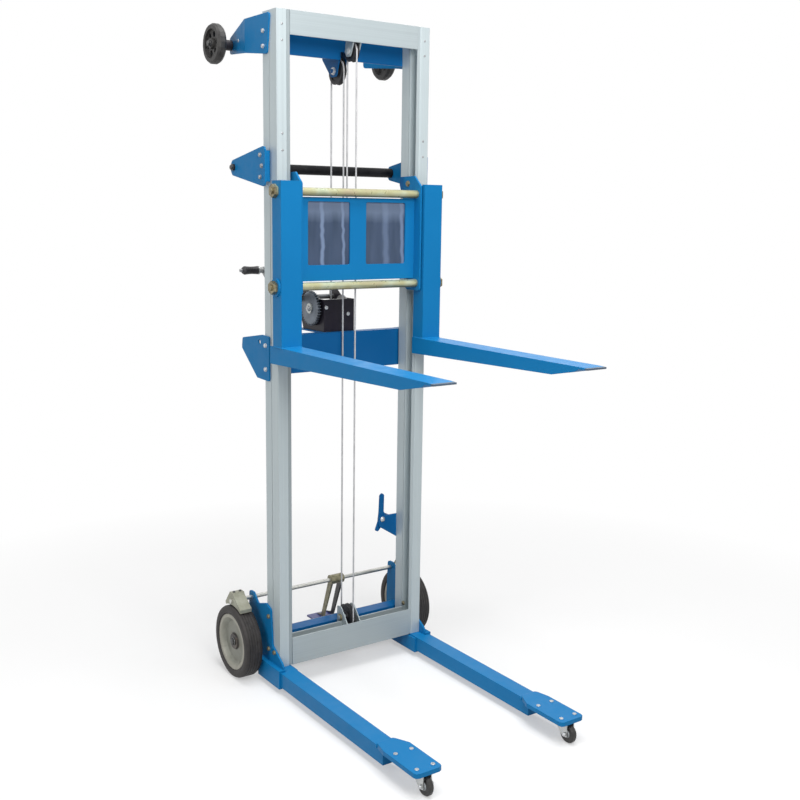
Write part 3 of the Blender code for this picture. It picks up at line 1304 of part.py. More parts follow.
def fork_blade(side_name, side):
    """Folded fork, open below, tapering to a thin tip; its heel straddles the moving column."""
    wall = FORK_WALL
    heel_bottom = FORK_TOP - FORK_HEEL_DEPTH
    bend_bottom = FORK_TOP - FORK_BEND_DEPTH
    tip_bottom = FORK_TOP - FORK_TIP
    outline = [
        (FORK_HEEL_Y, FORK_TOP),
        (FORK_HEEL_Y, heel_bottom),
        (FORK_BEND_Y, bend_bottom),
        (BLADE_Y, tip_bottom - 0.008),
        (BLADE_Y - 0.012, tip_bottom),
        (-FORK_REACH, tip_bottom),
        (-FORK_REACH, FORK_TOP - 0.001),
        (-FORK_REACH + 0.020, FORK_TOP),
    ]
    hollow = [
        (FORK_HEEL_Y + 0.01, FORK_TOP - wall),
        (FORK_HEEL_Y + 0.01, heel_bottom - 0.02),
        (BLADE_Y + 0.030, heel_bottom - 0.02),
        (BLADE_Y + 0.030, FORK_TOP - wall),
    ]
    width = UPRIGHT_OUTER_X - FORK_INNER_X
    at = side * (UPRIGHT_OUTER_X + FORK_INNER_X) / 2
    fork = plate(f"fork_{side_name}", [outline], width, SIDE_ON, at, BLUE_PAINT)
    inside = width / 2 - wall
    cut(fork, plate(f"fork_hollow_{side_name}", [hollow], 2 * inside, SIDE_ON, at, cutter=True),
        box(f"fork_notch_{side_name}", (at - inside, UPRIGHT_REAR_Y, FORK_TOP - wall - 0.01),
            (at + inside, FORK_HEEL_Y + 0.01, FORK_TOP + 0.01), cutter=True))
    heel_in = side * (FORK_INNER_X - 0.01)
    heel_out = side * (FORK_INNER_X + wall + 0.002)
    cut(fork, box(f"fork_heel_{side_name}", (min(heel_in, heel_out), UPRIGHT_REAR_Y, heel_bottom - 0.01),
                  (max(heel_in, heel_out), FORK_HEEL_Y + 0.01, FORK_TOP + 0.01), cutter=True))
    return fork


def forks():
    """Fork weldments: an upright channel hung on both bars, over a folded fork that straddles the column."""
    for side_name, side in SIDES:
        fork = fork_blade(side_name, side)
        upright = fork_upright(side_name, side)
        x = side * (UPRIGHT_OUTER_X - UPRIGHT_WALL / 2)
        boss = cylinder(f"bar_boss_{side_name}", (x, BAR_Y, LOWER_BAR_Z),
                        (side * (UPRIGHT_OUTER_X + BAR_BOSS), BAR_Y, LOWER_BAR_Z), BAR_BOSS_RADIUS, cutter=True)
        union(fork, upright, boss)
        middle = side * (UPRIGHT_INNER_X + UPRIGHT_OUTER_X) / 2
        reach = UPRIGHT_OUTER_X - UPRIGHT_INNER_X
        for index, z in enumerate((UPPER_BAR_Z, LOWER_BAR_Z)):
            cut(fork, cylinder(f"upright_hole_{side_name}_{index}", (middle - reach, BAR_Y, z),
                               (middle + reach, BAR_Y, z), BAR_RADIUS + GAP, cutter=True))


# Rope

def rope(name, y, low, high):
    """A straight run of wire rope between two tangent points."""
    curve = bpy.data.curves.new(name, "CURVE")
    curve.dimensions = "3D"
    curve.bevel_depth = ROPE_RADIUS
    curve.bevel_resolution = 2
    curve.use_fill_caps = True
    spline = curve.splines.new("POLY")
    spline.points.add(1)
    for point, z in zip(spline.points, (low, high)):
        point.co = (PULLEY_X, y, z, 1)
    obj = bpy.data.objects.new(name, curve)
    PARTS.objects.link(obj)
    curve.materials.append(PLAIN_STEEL)
    place(obj, Matrix.Identity(4))


def ropes():
    rope("winch_rope", OUTER_PULLEY_Y + OUTER_PULLEY_PITCH, DRUM_Z, OUTER_PULLEY_Z)
    rope("mast_lift_rope", OUTER_PULLEY_Y - OUTER_PULLEY_PITCH, LOWER_PULLEY_Z, OUTER_PULLEY_Z)
    rope("mast_rise_rope", LOWER_PULLEY_Y - LOWER_PULLEY_PITCH, LOWER_PULLEY_Z, UPPER_PULLEY_Z)
    rope("carriage_rope", CARRIAGE_ROPE_Y, ROPE_END_Z, UPPER_PULLEY_Z)


mast_columns()
guides()
top_crossbeam()
lower_crossbeam()
pulley("outer_pulley", OUTER_PULLEY_PITCH, OUTER_PULLEY_Y, OUTER_PULLEY_Z)
pulley("lower_pulley", LOWER_PULLEY_PITCH, LOWER_PULLEY_Y, LOWER_PULLEY_Z)
pulley("upper_pulley", UPPER_PULLEY_PITCH, UPPER_PULLEY_Y, UPPER_PULLEY_Z)
rear_top_crossmember()
load_wheel_brackets()
load_wheels()
handle()
winch_crossmember()
winch_frame()
winch_drum()
crank()
crank_grip()
legs()
casters()
base_frame()
rear_axle()
rear_wheels()
brake_rod()
brake_shoes()
latch()
carriage_panel()
windows()
carriage_sides()
rollers()
bars()
forks()
ropes()

MOVING = {
    "inner_mast": (
        "moving_column_left", "moving_column_right", "top_crossbeam", "lower_crossbeam", "foot_glide_left",
        "foot_glide_right", "upper_pulley", "lower_pulley", "mast_rise_rope", "carriage_rope",
    ),
    "carriage": (
        "carriage_panel", "window_left", "window_right", "carriage_side_left", "carriage_side_right", "upper_bar",
        "lower_bar", "fork_left", "fork_right", "roller_upper_left", "roller_upper_right", "roller_lower_left",
        "roller_lower_right",
    ),
}
CARRIED = (
    ("crank", "crank_grip"), ("brake_rod", "brake_shoe_left"), ("brake_rod", "brake_shoe_right"),
    ("caster_yoke_left", "caster_wheel_left"), ("caster_yoke_right", "caster_wheel_right"),
    ("rim_left", "tyre_left"), ("rim_right", "tyre_right"),
)


def hang(child, parent):
    """Parents one object to another and keeps it where it stands."""
    stands = child.matrix_world.copy()
    child.parent = parent
    child.matrix_parent_inverse = parent.matrix_world.inverted()
    child.matrix_world = stands


def assemble():
    """Hangs the carriage on the inner mast, the inner mast on the base, and each wheel on its holder."""
    holder = None
    for name in ("fixed_mast", "inner_mast", "carriage"):
        empty = bpy.data.objects.new(name, None)
        PARTS.objects.link(empty)
        if holder:
            empty.parent = holder
        for piece in MOVING.get(name, ()):
            hang(bpy.data.objects[piece], empty)
        holder = empty
    for parent, child in CARRIED:
        hang(bpy.data.objects[child], bpy.data.objects[parent])
    for obj in PARTS.objects:
        if obj.parent is None and obj.type != "EMPTY":
            hang(obj, bpy.data.objects["fixed_mast"])


assemble()
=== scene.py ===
import math

import bmesh
import bpy
from mathutils import Matrix, Vector


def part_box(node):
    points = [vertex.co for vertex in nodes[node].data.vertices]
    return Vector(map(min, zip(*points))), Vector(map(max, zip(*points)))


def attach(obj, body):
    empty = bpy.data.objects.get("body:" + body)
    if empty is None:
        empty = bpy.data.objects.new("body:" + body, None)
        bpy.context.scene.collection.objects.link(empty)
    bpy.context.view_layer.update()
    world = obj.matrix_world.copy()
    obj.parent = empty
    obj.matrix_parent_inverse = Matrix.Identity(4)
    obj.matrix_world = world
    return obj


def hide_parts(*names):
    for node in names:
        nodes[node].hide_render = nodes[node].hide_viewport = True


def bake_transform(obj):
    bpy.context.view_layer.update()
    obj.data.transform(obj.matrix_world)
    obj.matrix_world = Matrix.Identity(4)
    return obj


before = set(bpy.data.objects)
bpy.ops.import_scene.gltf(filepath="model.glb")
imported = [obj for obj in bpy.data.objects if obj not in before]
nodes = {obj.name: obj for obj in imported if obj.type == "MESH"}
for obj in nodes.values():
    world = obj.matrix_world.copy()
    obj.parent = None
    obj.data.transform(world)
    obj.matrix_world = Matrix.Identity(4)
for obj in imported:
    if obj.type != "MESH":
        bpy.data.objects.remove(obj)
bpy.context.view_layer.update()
bothSides = (("left", -1), ("right", 1))


def lowOf(node):
    return Vector(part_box(node)[0])


def highOf(node):
    return Vector(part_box(node)[1])


def centreOf(node):
    return (lowOf(node) + highOf(node)) / 2


# the mast's own faces, which most fittings are set out from
mastFront = lowOf("moving_column_left").y
columnInner = lowOf("moving_column_right").x
ropeX = centreOf("mast_lift_rope").x


def fromMast(x, back, z):  # back is measured from the front face of the moving columns
    return Vector((x, mastFront + back, z))


print("frame read, mast front at y", round(mastFront, 4))


# material nodes

def newFinish(name):
    finish = bpy.data.materials.new(name)
    finish.use_nodes = True
    tree = finish.node_tree
    return finish, tree, tree.nodes["Principled BSDF"]


def addNode(tree, kind, **settings):
    node = tree.nodes.new(kind)
    for key, value in settings.items():
        if key in node.inputs:
            node.inputs[key].default_value = value
        else:
            setattr(node, key, value)
    return node


def plug(tree, socket, value):  # a number, a colour or another node's output
    if isinstance(value, (int, float)):
        socket.default_value = value
    elif isinstance(value, tuple):
        socket.default_value = (*value, 1)
    else:
        tree.links.new(value, socket)


# noise in metres, stretched where a grain runs
def noiseAt(tree, scale, stretch=(1, 1, 1), detail=3.0, roughness=0.5):
    coords = addNode(tree, "ShaderNodeTexCoord")
    mapping = addNode(tree, "ShaderNodeMapping")
    mapping.inputs["Scale"].default_value = stretch
    noise = addNode(tree, "ShaderNodeTexNoise", Scale=scale, Detail=detail, Roughness=roughness)
    tree.links.new(coords.outputs["Object"], mapping.inputs["Vector"])
    tree.links.new(mapping.outputs["Vector"], noise.inputs["Vector"])
    return noise.outputs["Fac"]


def axisOf(tree, axis):
    coords = addNode(tree, "ShaderNodeTexCoord")
    split = addNode(tree, "ShaderNodeSeparateXYZ")
    tree.links.new(coords.outputs["Object"], split.inputs["Vector"])
    return split.outputs[axis]


def mathNode(tree, operation, first, second=0.0, third=0.0):
    node = addNode(tree, "ShaderNodeMath", operation=operation)
    for socket, value in zip(node.inputs, (first, second, third)):
        plug(tree, socket, value)
    return node.outputs[0]


def rampOf(tree, source, stops):
    ramp = addNode(tree, "ShaderNodeValToRGB")
    band = ramp.color_ramp
    while len(band.elements) < len(stops):
        band.elements.new(0.5)
    for element, (at, colour) in zip(band.elements, stops):
        element.position = at
        element.color = (*colour, 1)
    tree.links.new(source, ramp.inputs["Fac"])
    return ramp.outputs["Color"]


def between(tree, source, low, high, start=0.0, end=1.0):  # source from low..high to start..end
    scaled = addNode(tree, "ShaderNodeMapRange")
    for key, value in (("From Min", low), ("From Max", high), ("To Min", start), ("To Max", end)):
        scaled.inputs[key].default_value = value
    tree.links.new(source, scaled.inputs["Value"])
    return scaled.outputs["Result"]


def spread(tree, source, start, end):
    return between(tree, source, 0.3, 0.7, start, end)


def mixColours(tree, factor, first, second):
    mixer = addNode(tree, "ShaderNodeMix", data_type="RGBA")
    for socket, value in ((mixer.inputs[0], factor), (mixer.inputs[6], first), (mixer.inputs[7], second)):
        plug(tree, socket, value)
    return mixer.outputs[2]


def clouded(tree, source, first, second, most=1.0):  # from one tone to the other as the noise rises
    return mixColours(tree, spread(tree, source, 0, most), first, second)


def inSlab(tree, axis, low, high, soft=0.0004):  # 1 inside a slab of the surface's own metres
    place = axisOf(tree, axis)
    return mathNode(tree, "MULTIPLY", between(tree, place, low - soft, low + soft),
                    between(tree, place, high - soft, high + soft, 1, 0))


def lengthOf(tree, first, second):  # of the line whose two legs these are
    squares = [mathNode(tree, "MULTIPLY", leg, leg) for leg in (first, second)]
    return mathNode(tree, "SQRT", mathNode(tree, "ADD", *squares))


def fromMiddle(tree):  # how far left or right of the trolley's middle
    return mathNode(tree, "ABSOLUTE", axisOf(tree, 0))


def distanceFrom(tree, centre):  # from an axle that runs along X
    back = mathNode(tree, "SUBTRACT", axisOf(tree, 1), centre.y)
    up = mathNode(tree, "SUBTRACT", axisOf(tree, 2), centre.z)
    return lengthOf(tree, back, up)


def setSurface(tree, shader, colour, roughness, metal=0.0, gloss=0.5):  # each a value or a node's output
    for socket, value in (("Base Color", colour), ("Roughness", roughness), ("Metallic", metal),
                          ("Specular IOR Level", gloss)):
        plug(tree, shader.inputs[socket], value)


def roundedBump(tree, shader, height, strength, depth, edge):  # bump over softly rounded edges
    bump = addNode(tree, "ShaderNodeBump", Strength=strength, Distance=depth)
    tree.links.new(height, bump.inputs["Height"])
    if edge:
        bevel = addNode(tree, "ShaderNodeBevel", samples=4, Radius=edge)
        tree.links.new(bevel.outputs["Normal"], bump.inputs["Normal"])
    tree.links.new(bump.outputs["Normal"], shader.inputs["Normal"])


# finishes; "bump" is its strength, its depth and the radius that edges look rounded to

def enamelBlue():
    look = {"base": (0.0060, 0.176, 0.430), "pale": (0.0085, 0.205, 0.485), "scuff": (0.04, 0.29, 0.56),
            "scuffing": 0.25, "shaded": (0.0045, 0.095, 0.290), "shade": 0.8, "paintedTipShade": (0.10, 0.11, 0.12),
            "tipShadeAmount": 0.85, "tipLength": 0.010, "ragged": 0.006, "roughness": (0.32, 0.44), "gloss": 0.12,
            "peelScale": 900, "bump": (0.06, 0.0004, 0.0018)}
    finish, tree, shader = newFinish("enamelBlue")
    body = mixColours(tree, noiseAt(tree, 7, detail=2), look["base"], look["pale"])
    scuffs = between(tree, noiseAt(tree, 60, detail=6, roughness=0.7), 0.66, 0.76, 0, look["scuffing"])
    body = mixColours(tree, scuffs, body, look["scuff"])
    # between the columns and behind their front face the enamel is painted darker: painted shade
    inward = between(tree, fromMiddle(tree), columnInner - 0.010, columnInner + 0.030, look["shade"], 0)
    behind = between(tree, axisOf(tree, 1), mastFront + 0.030, mastFront + 0.045)
    body = mixColours(tree, mathNode(tree, "MULTIPLY", inward, behind), body, look["shaded"])
    # the last millimetres of the fork tips are painted dark grey with a ragged edge: painted shade of the tips
    tipEnd = lowOf("fork_left").y + look["tipLength"]
    ragged = mathNode(tree, "ADD", axisOf(tree, 1),
                      mathNode(tree, "MULTIPLY", noiseAt(tree, 180), look["ragged"]))
    paintedTipShadeMask = between(tree, ragged, tipEnd, tipEnd + 0.003, look["tipShadeAmount"], 0)
    setSurface(tree, shader, mixColours(tree, paintedTipShadeMask, body, look["paintedTipShade"]),
               spread(tree, noiseAt(tree, 40), *look["roughness"]), gloss=look["gloss"])
    roundedBump(tree, shader, noiseAt(tree, look["peelScale"], detail=1), *look["bump"])
    return finish


# satin extrusion: die lines along its length, and a darker strip by the inner edge of the front, painted shade
# of a recess, stronger on the left column than the right
def satinAluminium(name, stretch, tone, grooves=True):
    look = {"pale": (0.630, 0.715, 0.735), "deep": (0.520, 0.590, 0.615), "groove": (0.30, 0.345, 0.36),
            "clouding": 0.35, "metal": 0.22, "gloss": 0.25, "roughness": (0.36, 0.52), "stripWidth": 0.0098,
            "stripDepth": 0.0032, "grooveShadeLeft": 0.75, "grooveShadeRight": 0.35, "bump": (0.10, 0.0003, 0.0012)}
    finish, tree, shader = newFinish(name)
    lines = noiseAt(tree, 1.0, stretch, detail=4, roughness=0.65)
    pale, deep = (tuple(value * tone for value in look[key]) for key in ("pale", "deep"))
    cloud = mixColours(tree, noiseAt(tree, 9, detail=2), deep, pale)
    base = mixColours(tree, look["clouding"], clouded(tree, lines, deep, pale), cloud)
    if grooves:
        # a darker strip by the inner edge of the front: painted shade of a recess, stronger on the left column
        inStrip = mathNode(tree, "LESS_THAN", fromMiddle(tree), columnInner + look["stripWidth"])
        onFront = mathNode(tree, "LESS_THAN", axisOf(tree, 1), mastFront + look["stripDepth"])
        strength = between(tree, axisOf(tree, 0), -columnInner, columnInner, look["grooveShadeLeft"],
                           look["grooveShadeRight"])
        paintedGrooveShade = mathNode(tree, "MULTIPLY", mathNode(tree, "MULTIPLY", inStrip, onFront), strength)
        base = mixColours(tree, paintedGrooveShade, base, look["groove"])
    setSurface(tree, shader, base, spread(tree, lines, *look["roughness"]), look["metal"], look["gloss"])
    roundedBump(tree, shader, lines, *look["bump"])
    return finish


def tyreRubber():
    look = {"base": (0.019, 0.017, 0.017), "dusty": (0.055, 0.050, 0.048), "dusting": 0.8,
            "roughness": (0.48, 0.70), "gloss": 0.35, "wallStep": 0.0060, "wallDepth": 120, "grain": 0.25,
            "bump": (0.35, 0.0008, 0.001)}
    finish, tree, shader = newFinish("tyreRubber")
    dust = noiseAt(tree, 55, detail=5, roughness=0.6)
    setSurface(tree, shader, clouded(tree, dust, look["base"], look["dusty"], look["dusting"]),
               spread(tree, dust, *look["roughness"]), gloss=look["gloss"])
    rings = mathNode(tree, "PINGPONG", distanceFrom(tree, centreOf("tyre_left")), look["wallStep"] / 2)
    grain = mathNode(tree, "MULTIPLY", noiseAt(tree, 700, detail=2), look["grain"])
    roundedBump(tree, shader, mathNode(tree, "MULTIPLY_ADD", rings, look["wallDepth"], grain), *look["bump"])
    return finish


def mouldedBlack(name, base=(0.020, 0.020, 0.022), pale=(0.042, 0.042, 0.046), roughness=(0.38, 0.55),
                 gloss=0.3, bump=(0.15, 0.0004, 0.0012)):
    finish, tree, shader = newFinish(name)
    cloud = noiseAt(tree, 45, detail=4)
    setSurface(tree, shader, clouded(tree, cloud, base, pale), spread(tree, cloud, *roughness), gloss=gloss)
    roundedBump(tree, shader, noiseAt(tree, 600, detail=2), *bump)
    return finish


# the blotched, faintly brushed colour of plated steel, and the brush marks themselves
def blotchedMetal(tree, deep, pale, stretch=(60, 60, 60), brushing=0.3):
    brushed = noiseAt(tree, 1.0, stretch, detail=3)
    base = clouded(tree, noiseAt(tree, 35, detail=4, roughness=0.6), deep, pale)
    return mixColours(tree, brushing, base, mixColours(tree, brushed, deep, pale)), brushed


def platedSteel(name, deep, pale, roughness=(0.24, 0.42), metal=0.9, bump=(0.12, 0.0003, 0.0008)):
    finish, tree, shader = newFinish(name)
    base, brushed = blotchedMetal(tree, deep, pale)
    setSurface(tree, shader, base, spread(tree, brushed, *roughness), metal)
    roundedBump(tree, shader, brushed, *bump)
    return finish


def yellowZinc():  # straw with green and rose blooms, and browner nuts on the ends
    look = {"straw": (0.50, 0.49, 0.28), "pale": (0.56, 0.60, 0.43), "rose": (0.49, 0.43, 0.28),
            "green": (0.41, 0.49, 0.32), "paintedUnderShade": (0.17, 0.14, 0.06), "underShadeAmount": 0.85,
            "underShadeFrom": (-0.011, 0.002), "nut": (0.13, 0.105, 0.055), "nutWorn": (0.33, 0.29, 0.18),
            "roughness": (0.26, 0.34), "metal": 0.6}
    finish, tree, shader = newFinish("yellowZinc")
    colour = rampOf(tree, noiseAt(tree, 14, detail=2), ((0.30, look["green"]), (0.44, look["pale"]),
                                                        (0.56, look["straw"]), (0.72, look["rose"])))
    # each bar is painted darker olive along its underside: painted shade
    upper, lower = centreOf("upper_bar").z, centreOf("lower_bar").z
    height = axisOf(tree, 2)
    onUpper = mathNode(tree, "GREATER_THAN", height, (upper + lower) / 2)
    middle = mathNode(tree, "MULTIPLY_ADD", onUpper, upper - lower, lower)
    fromBar = mathNode(tree, "SUBTRACT", height, middle)
    paintedUnderside = between(tree, fromBar, *look["underShadeFrom"], look["underShadeAmount"], 0)
    colour = mixColours(tree, paintedUnderside, colour, look["paintedUnderShade"])
    nutStart = highOf("fork_right").x
    onNut = between(tree, fromMiddle(tree), nutStart, nutStart + 0.0005)
    colour = mixColours(tree, onNut, colour, clouded(tree, noiseAt(tree, 120), look["nut"], look["nutWorn"]))
    setSurface(tree, shader, colour, spread(tree, noiseAt(tree, 60), *look["roughness"]), look["metal"])
    return finish


def smokedWindow():  # smoky sheet with painted reflections: wavering pale lines, bent as by a slightly bowed sheet, and a pale band along the top
    look = {"smoke": (0.030, 0.058, 0.110), "middle": (0.062, 0.098, 0.180), "paintedReflection": (0.200, 0.275, 0.430),
            "top": (0.245, 0.320, 0.460), "glareBand": (0.050, 0.022), "glareStrength": 0.5, "waver": 0.020,
            "bow": 0.026, "clear": 0.10, "gloss": 0.35, "roughness": (0.12, 0.24), "bump": (0.10, 0.002, 0),
            # where each painted reflection stands, its half width and its strength
            "paintedReflections": ((-0.1066, 0.0075, 1.0), (-0.0435, 0.0055, 0.9), (0.0893, 0.0125, 0.45),
                        (0.1428, 0.0075, 0.8))}
    finish, tree, shader = newFinish("smokedWindow")
    wander = noiseAt(tree, 1.0, (2, 2, 16), detail=2)
    bow = mathNode(tree, "MULTIPLY_ADD", wander, look["bow"], -look["bow"] / 2)
    bowed = mathNode(tree, "ADD", axisOf(tree, 0), bow)
    paintedReflections = 0.0
    for at, width, strength in look["paintedReflections"]:
        off = mathNode(tree, "ABSOLUTE", mathNode(tree, "SUBTRACT", bowed, at))
        paintedReflections = mathNode(tree, "MAXIMUM", between(tree, off, width * 0.35, width, strength, 0), paintedReflections)
    cloud = noiseAt(tree, 1.0, (30, 30, 5), detail=3)
    body = clouded(tree, cloud, look["smoke"], look["middle"])
    body = mixColours(tree, paintedReflections, body, look["paintedReflection"])
    # the pale band along the top is a painted reflection
    bandStart, bandEnd = (highOf("window_left").z - below for below in look["glareBand"])
    wavy = mathNode(tree, "ADD", axisOf(tree, 2), mathNode(tree, "MULTIPLY", cloud, look["waver"]))
    paintedGlareMask = between(tree, wavy, bandStart, bandEnd, 0, look["glareStrength"])
    setSurface(tree, shader, mixColours(tree, paintedGlareMask, body, look["top"]),
               spread(tree, wander, *look["roughness"]), gloss=look["gloss"])
    shader.inputs["Alpha"].default_value = 1 - look["clear"]
    roundedBump(tree, shader, cloud, *look["bump"])
    return finish


def pedalRod():  # a shiny rod, an olive clamp and left arm, a black right arm and a blue tread
    look = {"deep": (0.42, 0.42, 0.40), "pale": (0.66, 0.66, 0.62), "olive": (0.16, 0.145, 0.085),
            "oliveWorn": (0.30, 0.28, 0.18), "black": (0.018, 0.018, 0.018), "tread": (0.030, 0.040, 0.200),
            "pedalX": 0.038, "clampHalf": 0.0215, "rodBelowTop": 0.014, "clampBelow": (0.0160, 0.0140),
            "treadDepth": 0.010, "metal": 0.85, "clampDull": 0.6, "roughness": (0.24, 0.42),
            "bump": (0.10, 0.0003, 0.0008)}
    finish, tree, shader = newFinish("pedalRod")
    base, brushed = blotchedMetal(tree, look["deep"], look["pale"], (1.5, 300, 300))
    clampEnds = (look["pedalX"] - look["clampHalf"], look["pedalX"] + look["clampHalf"])
    onClamp = inSlab(tree, 0, *clampEnds)
    base = mixColours(tree, onClamp, base, clouded(tree, noiseAt(tree, 90), look["olive"], look["oliveWorn"]))
    armTop = [highOf("brake_rod").z - look["rodBelowTop"] - below for below in look["clampBelow"]]
    belowRod = between(tree, axisOf(tree, 2), *armTop, 1, 0)
    rightHalf = between(tree, axisOf(tree, 0), look["pedalX"] + 0.005, look["pedalX"] + 0.006)
    onRightArm = mathNode(tree, "MULTIPLY", rightHalf, belowRod)
    base = mixColours(tree, onRightArm, base, look["black"])
    treadTop = lowOf("brake_rod").z + look["treadDepth"]
    onTread = between(tree, axisOf(tree, 2), treadTop - 0.0005, treadTop + 0.0005, 1, 0)
    dull = mathNode(tree, "MAXIMUM", onRightArm, onTread)
    dull = mathNode(tree, "MAXIMUM", dull, mathNode(tree, "MULTIPLY", onClamp, look["clampDull"]))
    setSurface(tree, shader, mixColours(tree, onTread, base, look["tread"]),
               spread(tree, brushed, *look["roughness"]), between(tree, dull, 0, 1, look["metal"], 0))
    roundedBump(tree, shader, brushed, *look["bump"])
    return finish


def wheelRim(name, side):  # a grey enamelled dish, paler round its rolled lip, and a dark hub
    look = {"dish": (0.205, 0.210, 0.175), "dishPale": (0.300, 0.305, 0.265), "lip": (0.38, 0.37, 0.31),
            "lipFrom": (0.060, 0.070), "hub": (0.035, 0.030, 0.028), "hubTo": (0.022, 0.026),
            "rust": (0.16, 0.11, 0.07), "rusting": 0.6, "rustTo": (0.024, 0.045), "metal": 0.15,
            "roughness": (0.36, 0.52), "bump": (0.08, 0.0003, 0.0010)}
    finish, tree, shader = newFinish(name)
    out = distanceFrom(tree, centreOf(f"rim_{side}"))
    cloud = noiseAt(tree, 40, detail=4)
    base = clouded(tree, cloud, look["dish"], look["dishPale"])
    base = mixColours(tree, between(tree, out, *look["lipFrom"]), base, look["lip"])
    base = mixColours(tree, between(tree, out, *look["hubTo"], 1, 0), base, look["hub"])
    rusted = between(tree, noiseAt(tree, 70, detail=5), 0.5, 0.7, 0, look["rusting"])
    rusted = mathNode(tree, "MULTIPLY", rusted, between(tree, out, *look["rustTo"], 1, 0.15))
    setSurface(tree, shader, mixColours(tree, rusted, base, look["rust"]),
               spread(tree, cloud, *look["roughness"]), look["metal"])
    roundedBump(tree, shader, noiseAt(tree, 400, detail=2), *look["bump"])
    return finish


def hubbedWheel(name, wheel, hubRadius, hubTone):  # black moulding with a bearing hub of another tone
    look = {"body": (0.020, 0.019, 0.019), "dusty": (0.050, 0.048, 0.046), "hubWorn": 1.3, "hubSoft": 0.0006,
            "ringStep": 0.0022, "ringDepth": 160, "roughness": (0.38, 0.56), "gloss": 0.35,
            "bump": (0.14, 0.0005, 0.0012)}
    finish, tree, shader = newFinish(name)
    out = distanceFrom(tree, centreOf(wheel))
    cloud = noiseAt(tree, 60, detail=4)
    body = clouded(tree, cloud, look["body"], look["dusty"])
    hub = clouded(tree, cloud, hubTone, tuple(value * look["hubWorn"] for value in hubTone))
    onHub = between(tree, out, hubRadius - look["hubSoft"], hubRadius + look["hubSoft"], 1, 0)
    setSurface(tree, shader, mixColours(tree, onHub, body, hub), spread(tree, cloud, *look["roughness"]),
               gloss=look["gloss"])
    rings = mathNode(tree, "MULTIPLY", mathNode(tree, "PINGPONG", out, look["ringStep"]), look["ringDepth"])
    roundedBump(tree, shader, mathNode(tree, "ADD", rings, noiseAt(tree, 500)), *look["bump"])
    return finish


def gearAndDrum():  # dark oiled gear, a pale hub boss and a greyer drum
    look = {"gear": (0.085, 0.100, 0.120), "gearPale": (0.20, 0.23, 0.27), "boss": (0.50, 0.52, 0.50),
            "bossTo": (0.0138, 0.0144), "drum": (0.30, 0.30, 0.30), "gearDepth": 0.0115, "metal": 0.75,
            "roughness": (0.32, 0.5), "bump": (0.12, 0.0003, 0.0006)}
    finish, tree, shader = newFinish("gearAndDrum")
    base, brushed = blotchedMetal(tree, look["gear"], look["gearPale"])
    gearRight = lowOf("winch_drum").x + look["gearDepth"]
    rightOfGear = between(tree, axisOf(tree, 0), gearRight, gearRight + 0.001)
    base = mixColours(tree, rightOfGear, base, look["drum"])
    nearAxis = between(tree, distanceFrom(tree, centreOf("winch_drum")), *look["bossTo"], 1, 0)
    onBoss = mathNode(tree, "MULTIPLY", nearAxis, mathNode(tree, "SUBTRACT", 1.0, rightOfGear))
    setSurface(tree, shader, mixColours(tree, onBoss, base, look["boss"]),
               spread(tree, brushed, *look["roughness"]), look["metal"])
    roundedBump(tree, shader, brushed, *look["bump"])
    return finish


def crankGrip():  # black grip with a grey ferrule at the arm
    look = {"ferrule": 0.0160, "ferruleSoft": 0.0003, "steel": (0.46, 0.47, 0.46), "metal": 0.4,
            "base": (0.012, 0.012, 0.013), "pale": (0.032, 0.032, 0.036), "roughness": (0.38, 0.55),
            "groovePitch": 0.005, "grooveDepth": 150, "bump": (0.25, 0.0006, 0.0010)}
    finish, tree, shader = newFinish("crankGrip")
    cloud = noiseAt(tree, 60, detail=4)
    body = clouded(tree, cloud, look["base"], look["pale"])
    start = highOf("crank_grip").x - look["ferrule"]
    onFerrule = between(tree, axisOf(tree, 0), start - look["ferruleSoft"], start + look["ferruleSoft"])
    setSurface(tree, shader, mixColours(tree, onFerrule, body, look["steel"]),
               spread(tree, cloud, *look["roughness"]), mathNode(tree, "MULTIPLY", onFerrule, look["metal"]))
    grooves = mathNode(tree, "PINGPONG", axisOf(tree, 0), look["groovePitch"] / 2)
    roundedBump(tree, shader, mathNode(tree, "MULTIPLY", grooves, look["grooveDepth"]), *look["bump"])
    return finish


blue = enamelBlue()
columnMetal = satinAluminium("columnAluminium", (420, 420, 1.2), 0.92)
# the beams wear a darker copy of the column aluminium: painted shade
shadedBeamMetal = satinAluminium("shadedBeamAluminium", (1.2, 420, 420), 0.77, grooves=False)
tyreBlack = tyreRubber()
handleBlack = mouldedBlack("handleSleeve", (0.007, 0.007, 0.008), (0.018, 0.018, 0.020), (0.45, 0.62), 0.12)
gripBlack = crankGrip()
nylonBlack = mouldedBlack("nylonBlack")
winchBlack = mouldedBlack("winchEnamel", (0.013, 0.010, 0.017), (0.024, 0.020, 0.029), (0.28, 0.42), 0.2)
spacerBlack = mouldedBlack("spacerBlack", (0.010, 0.009, 0.012), (0.020, 0.018, 0.024))
zincYellow = yellowZinc()
zincSteel = platedSteel("zincSteel", (0.36, 0.37, 0.37), (0.62, 0.63, 0.62))
crankSteel = platedSteel("crankSteel", (0.20, 0.205, 0.21), (0.42, 0.43, 0.44), metal=0.8)
pedalSteel = pedalRod()
shoeCasting = platedSteel("shoeCasting", (0.24, 0.24, 0.18), (0.44, 0.44, 0.36), (0.42, 0.6), 0.35)
oliveSteel = platedSteel("oliveSteel", (0.13, 0.11, 0.06), (0.30, 0.27, 0.17), (0.35, 0.5), 0.6)
gearSteel = gearAndDrum()
wireSteel = platedSteel("wireSteel", (0.46, 0.46, 0.47), (0.66, 0.66, 0.67), (0.30, 0.45), 0.35)
boltSteel = platedSteel("boltSteel", (0.40, 0.41, 0.42), (0.66, 0.67, 0.68), metal=0.7)
darkBolt = platedSteel("darkBolt", (0.05, 0.05, 0.05), (0.13, 0.13, 0.13), (0.3, 0.45))
window = smokedWindow()
print("finishes made")

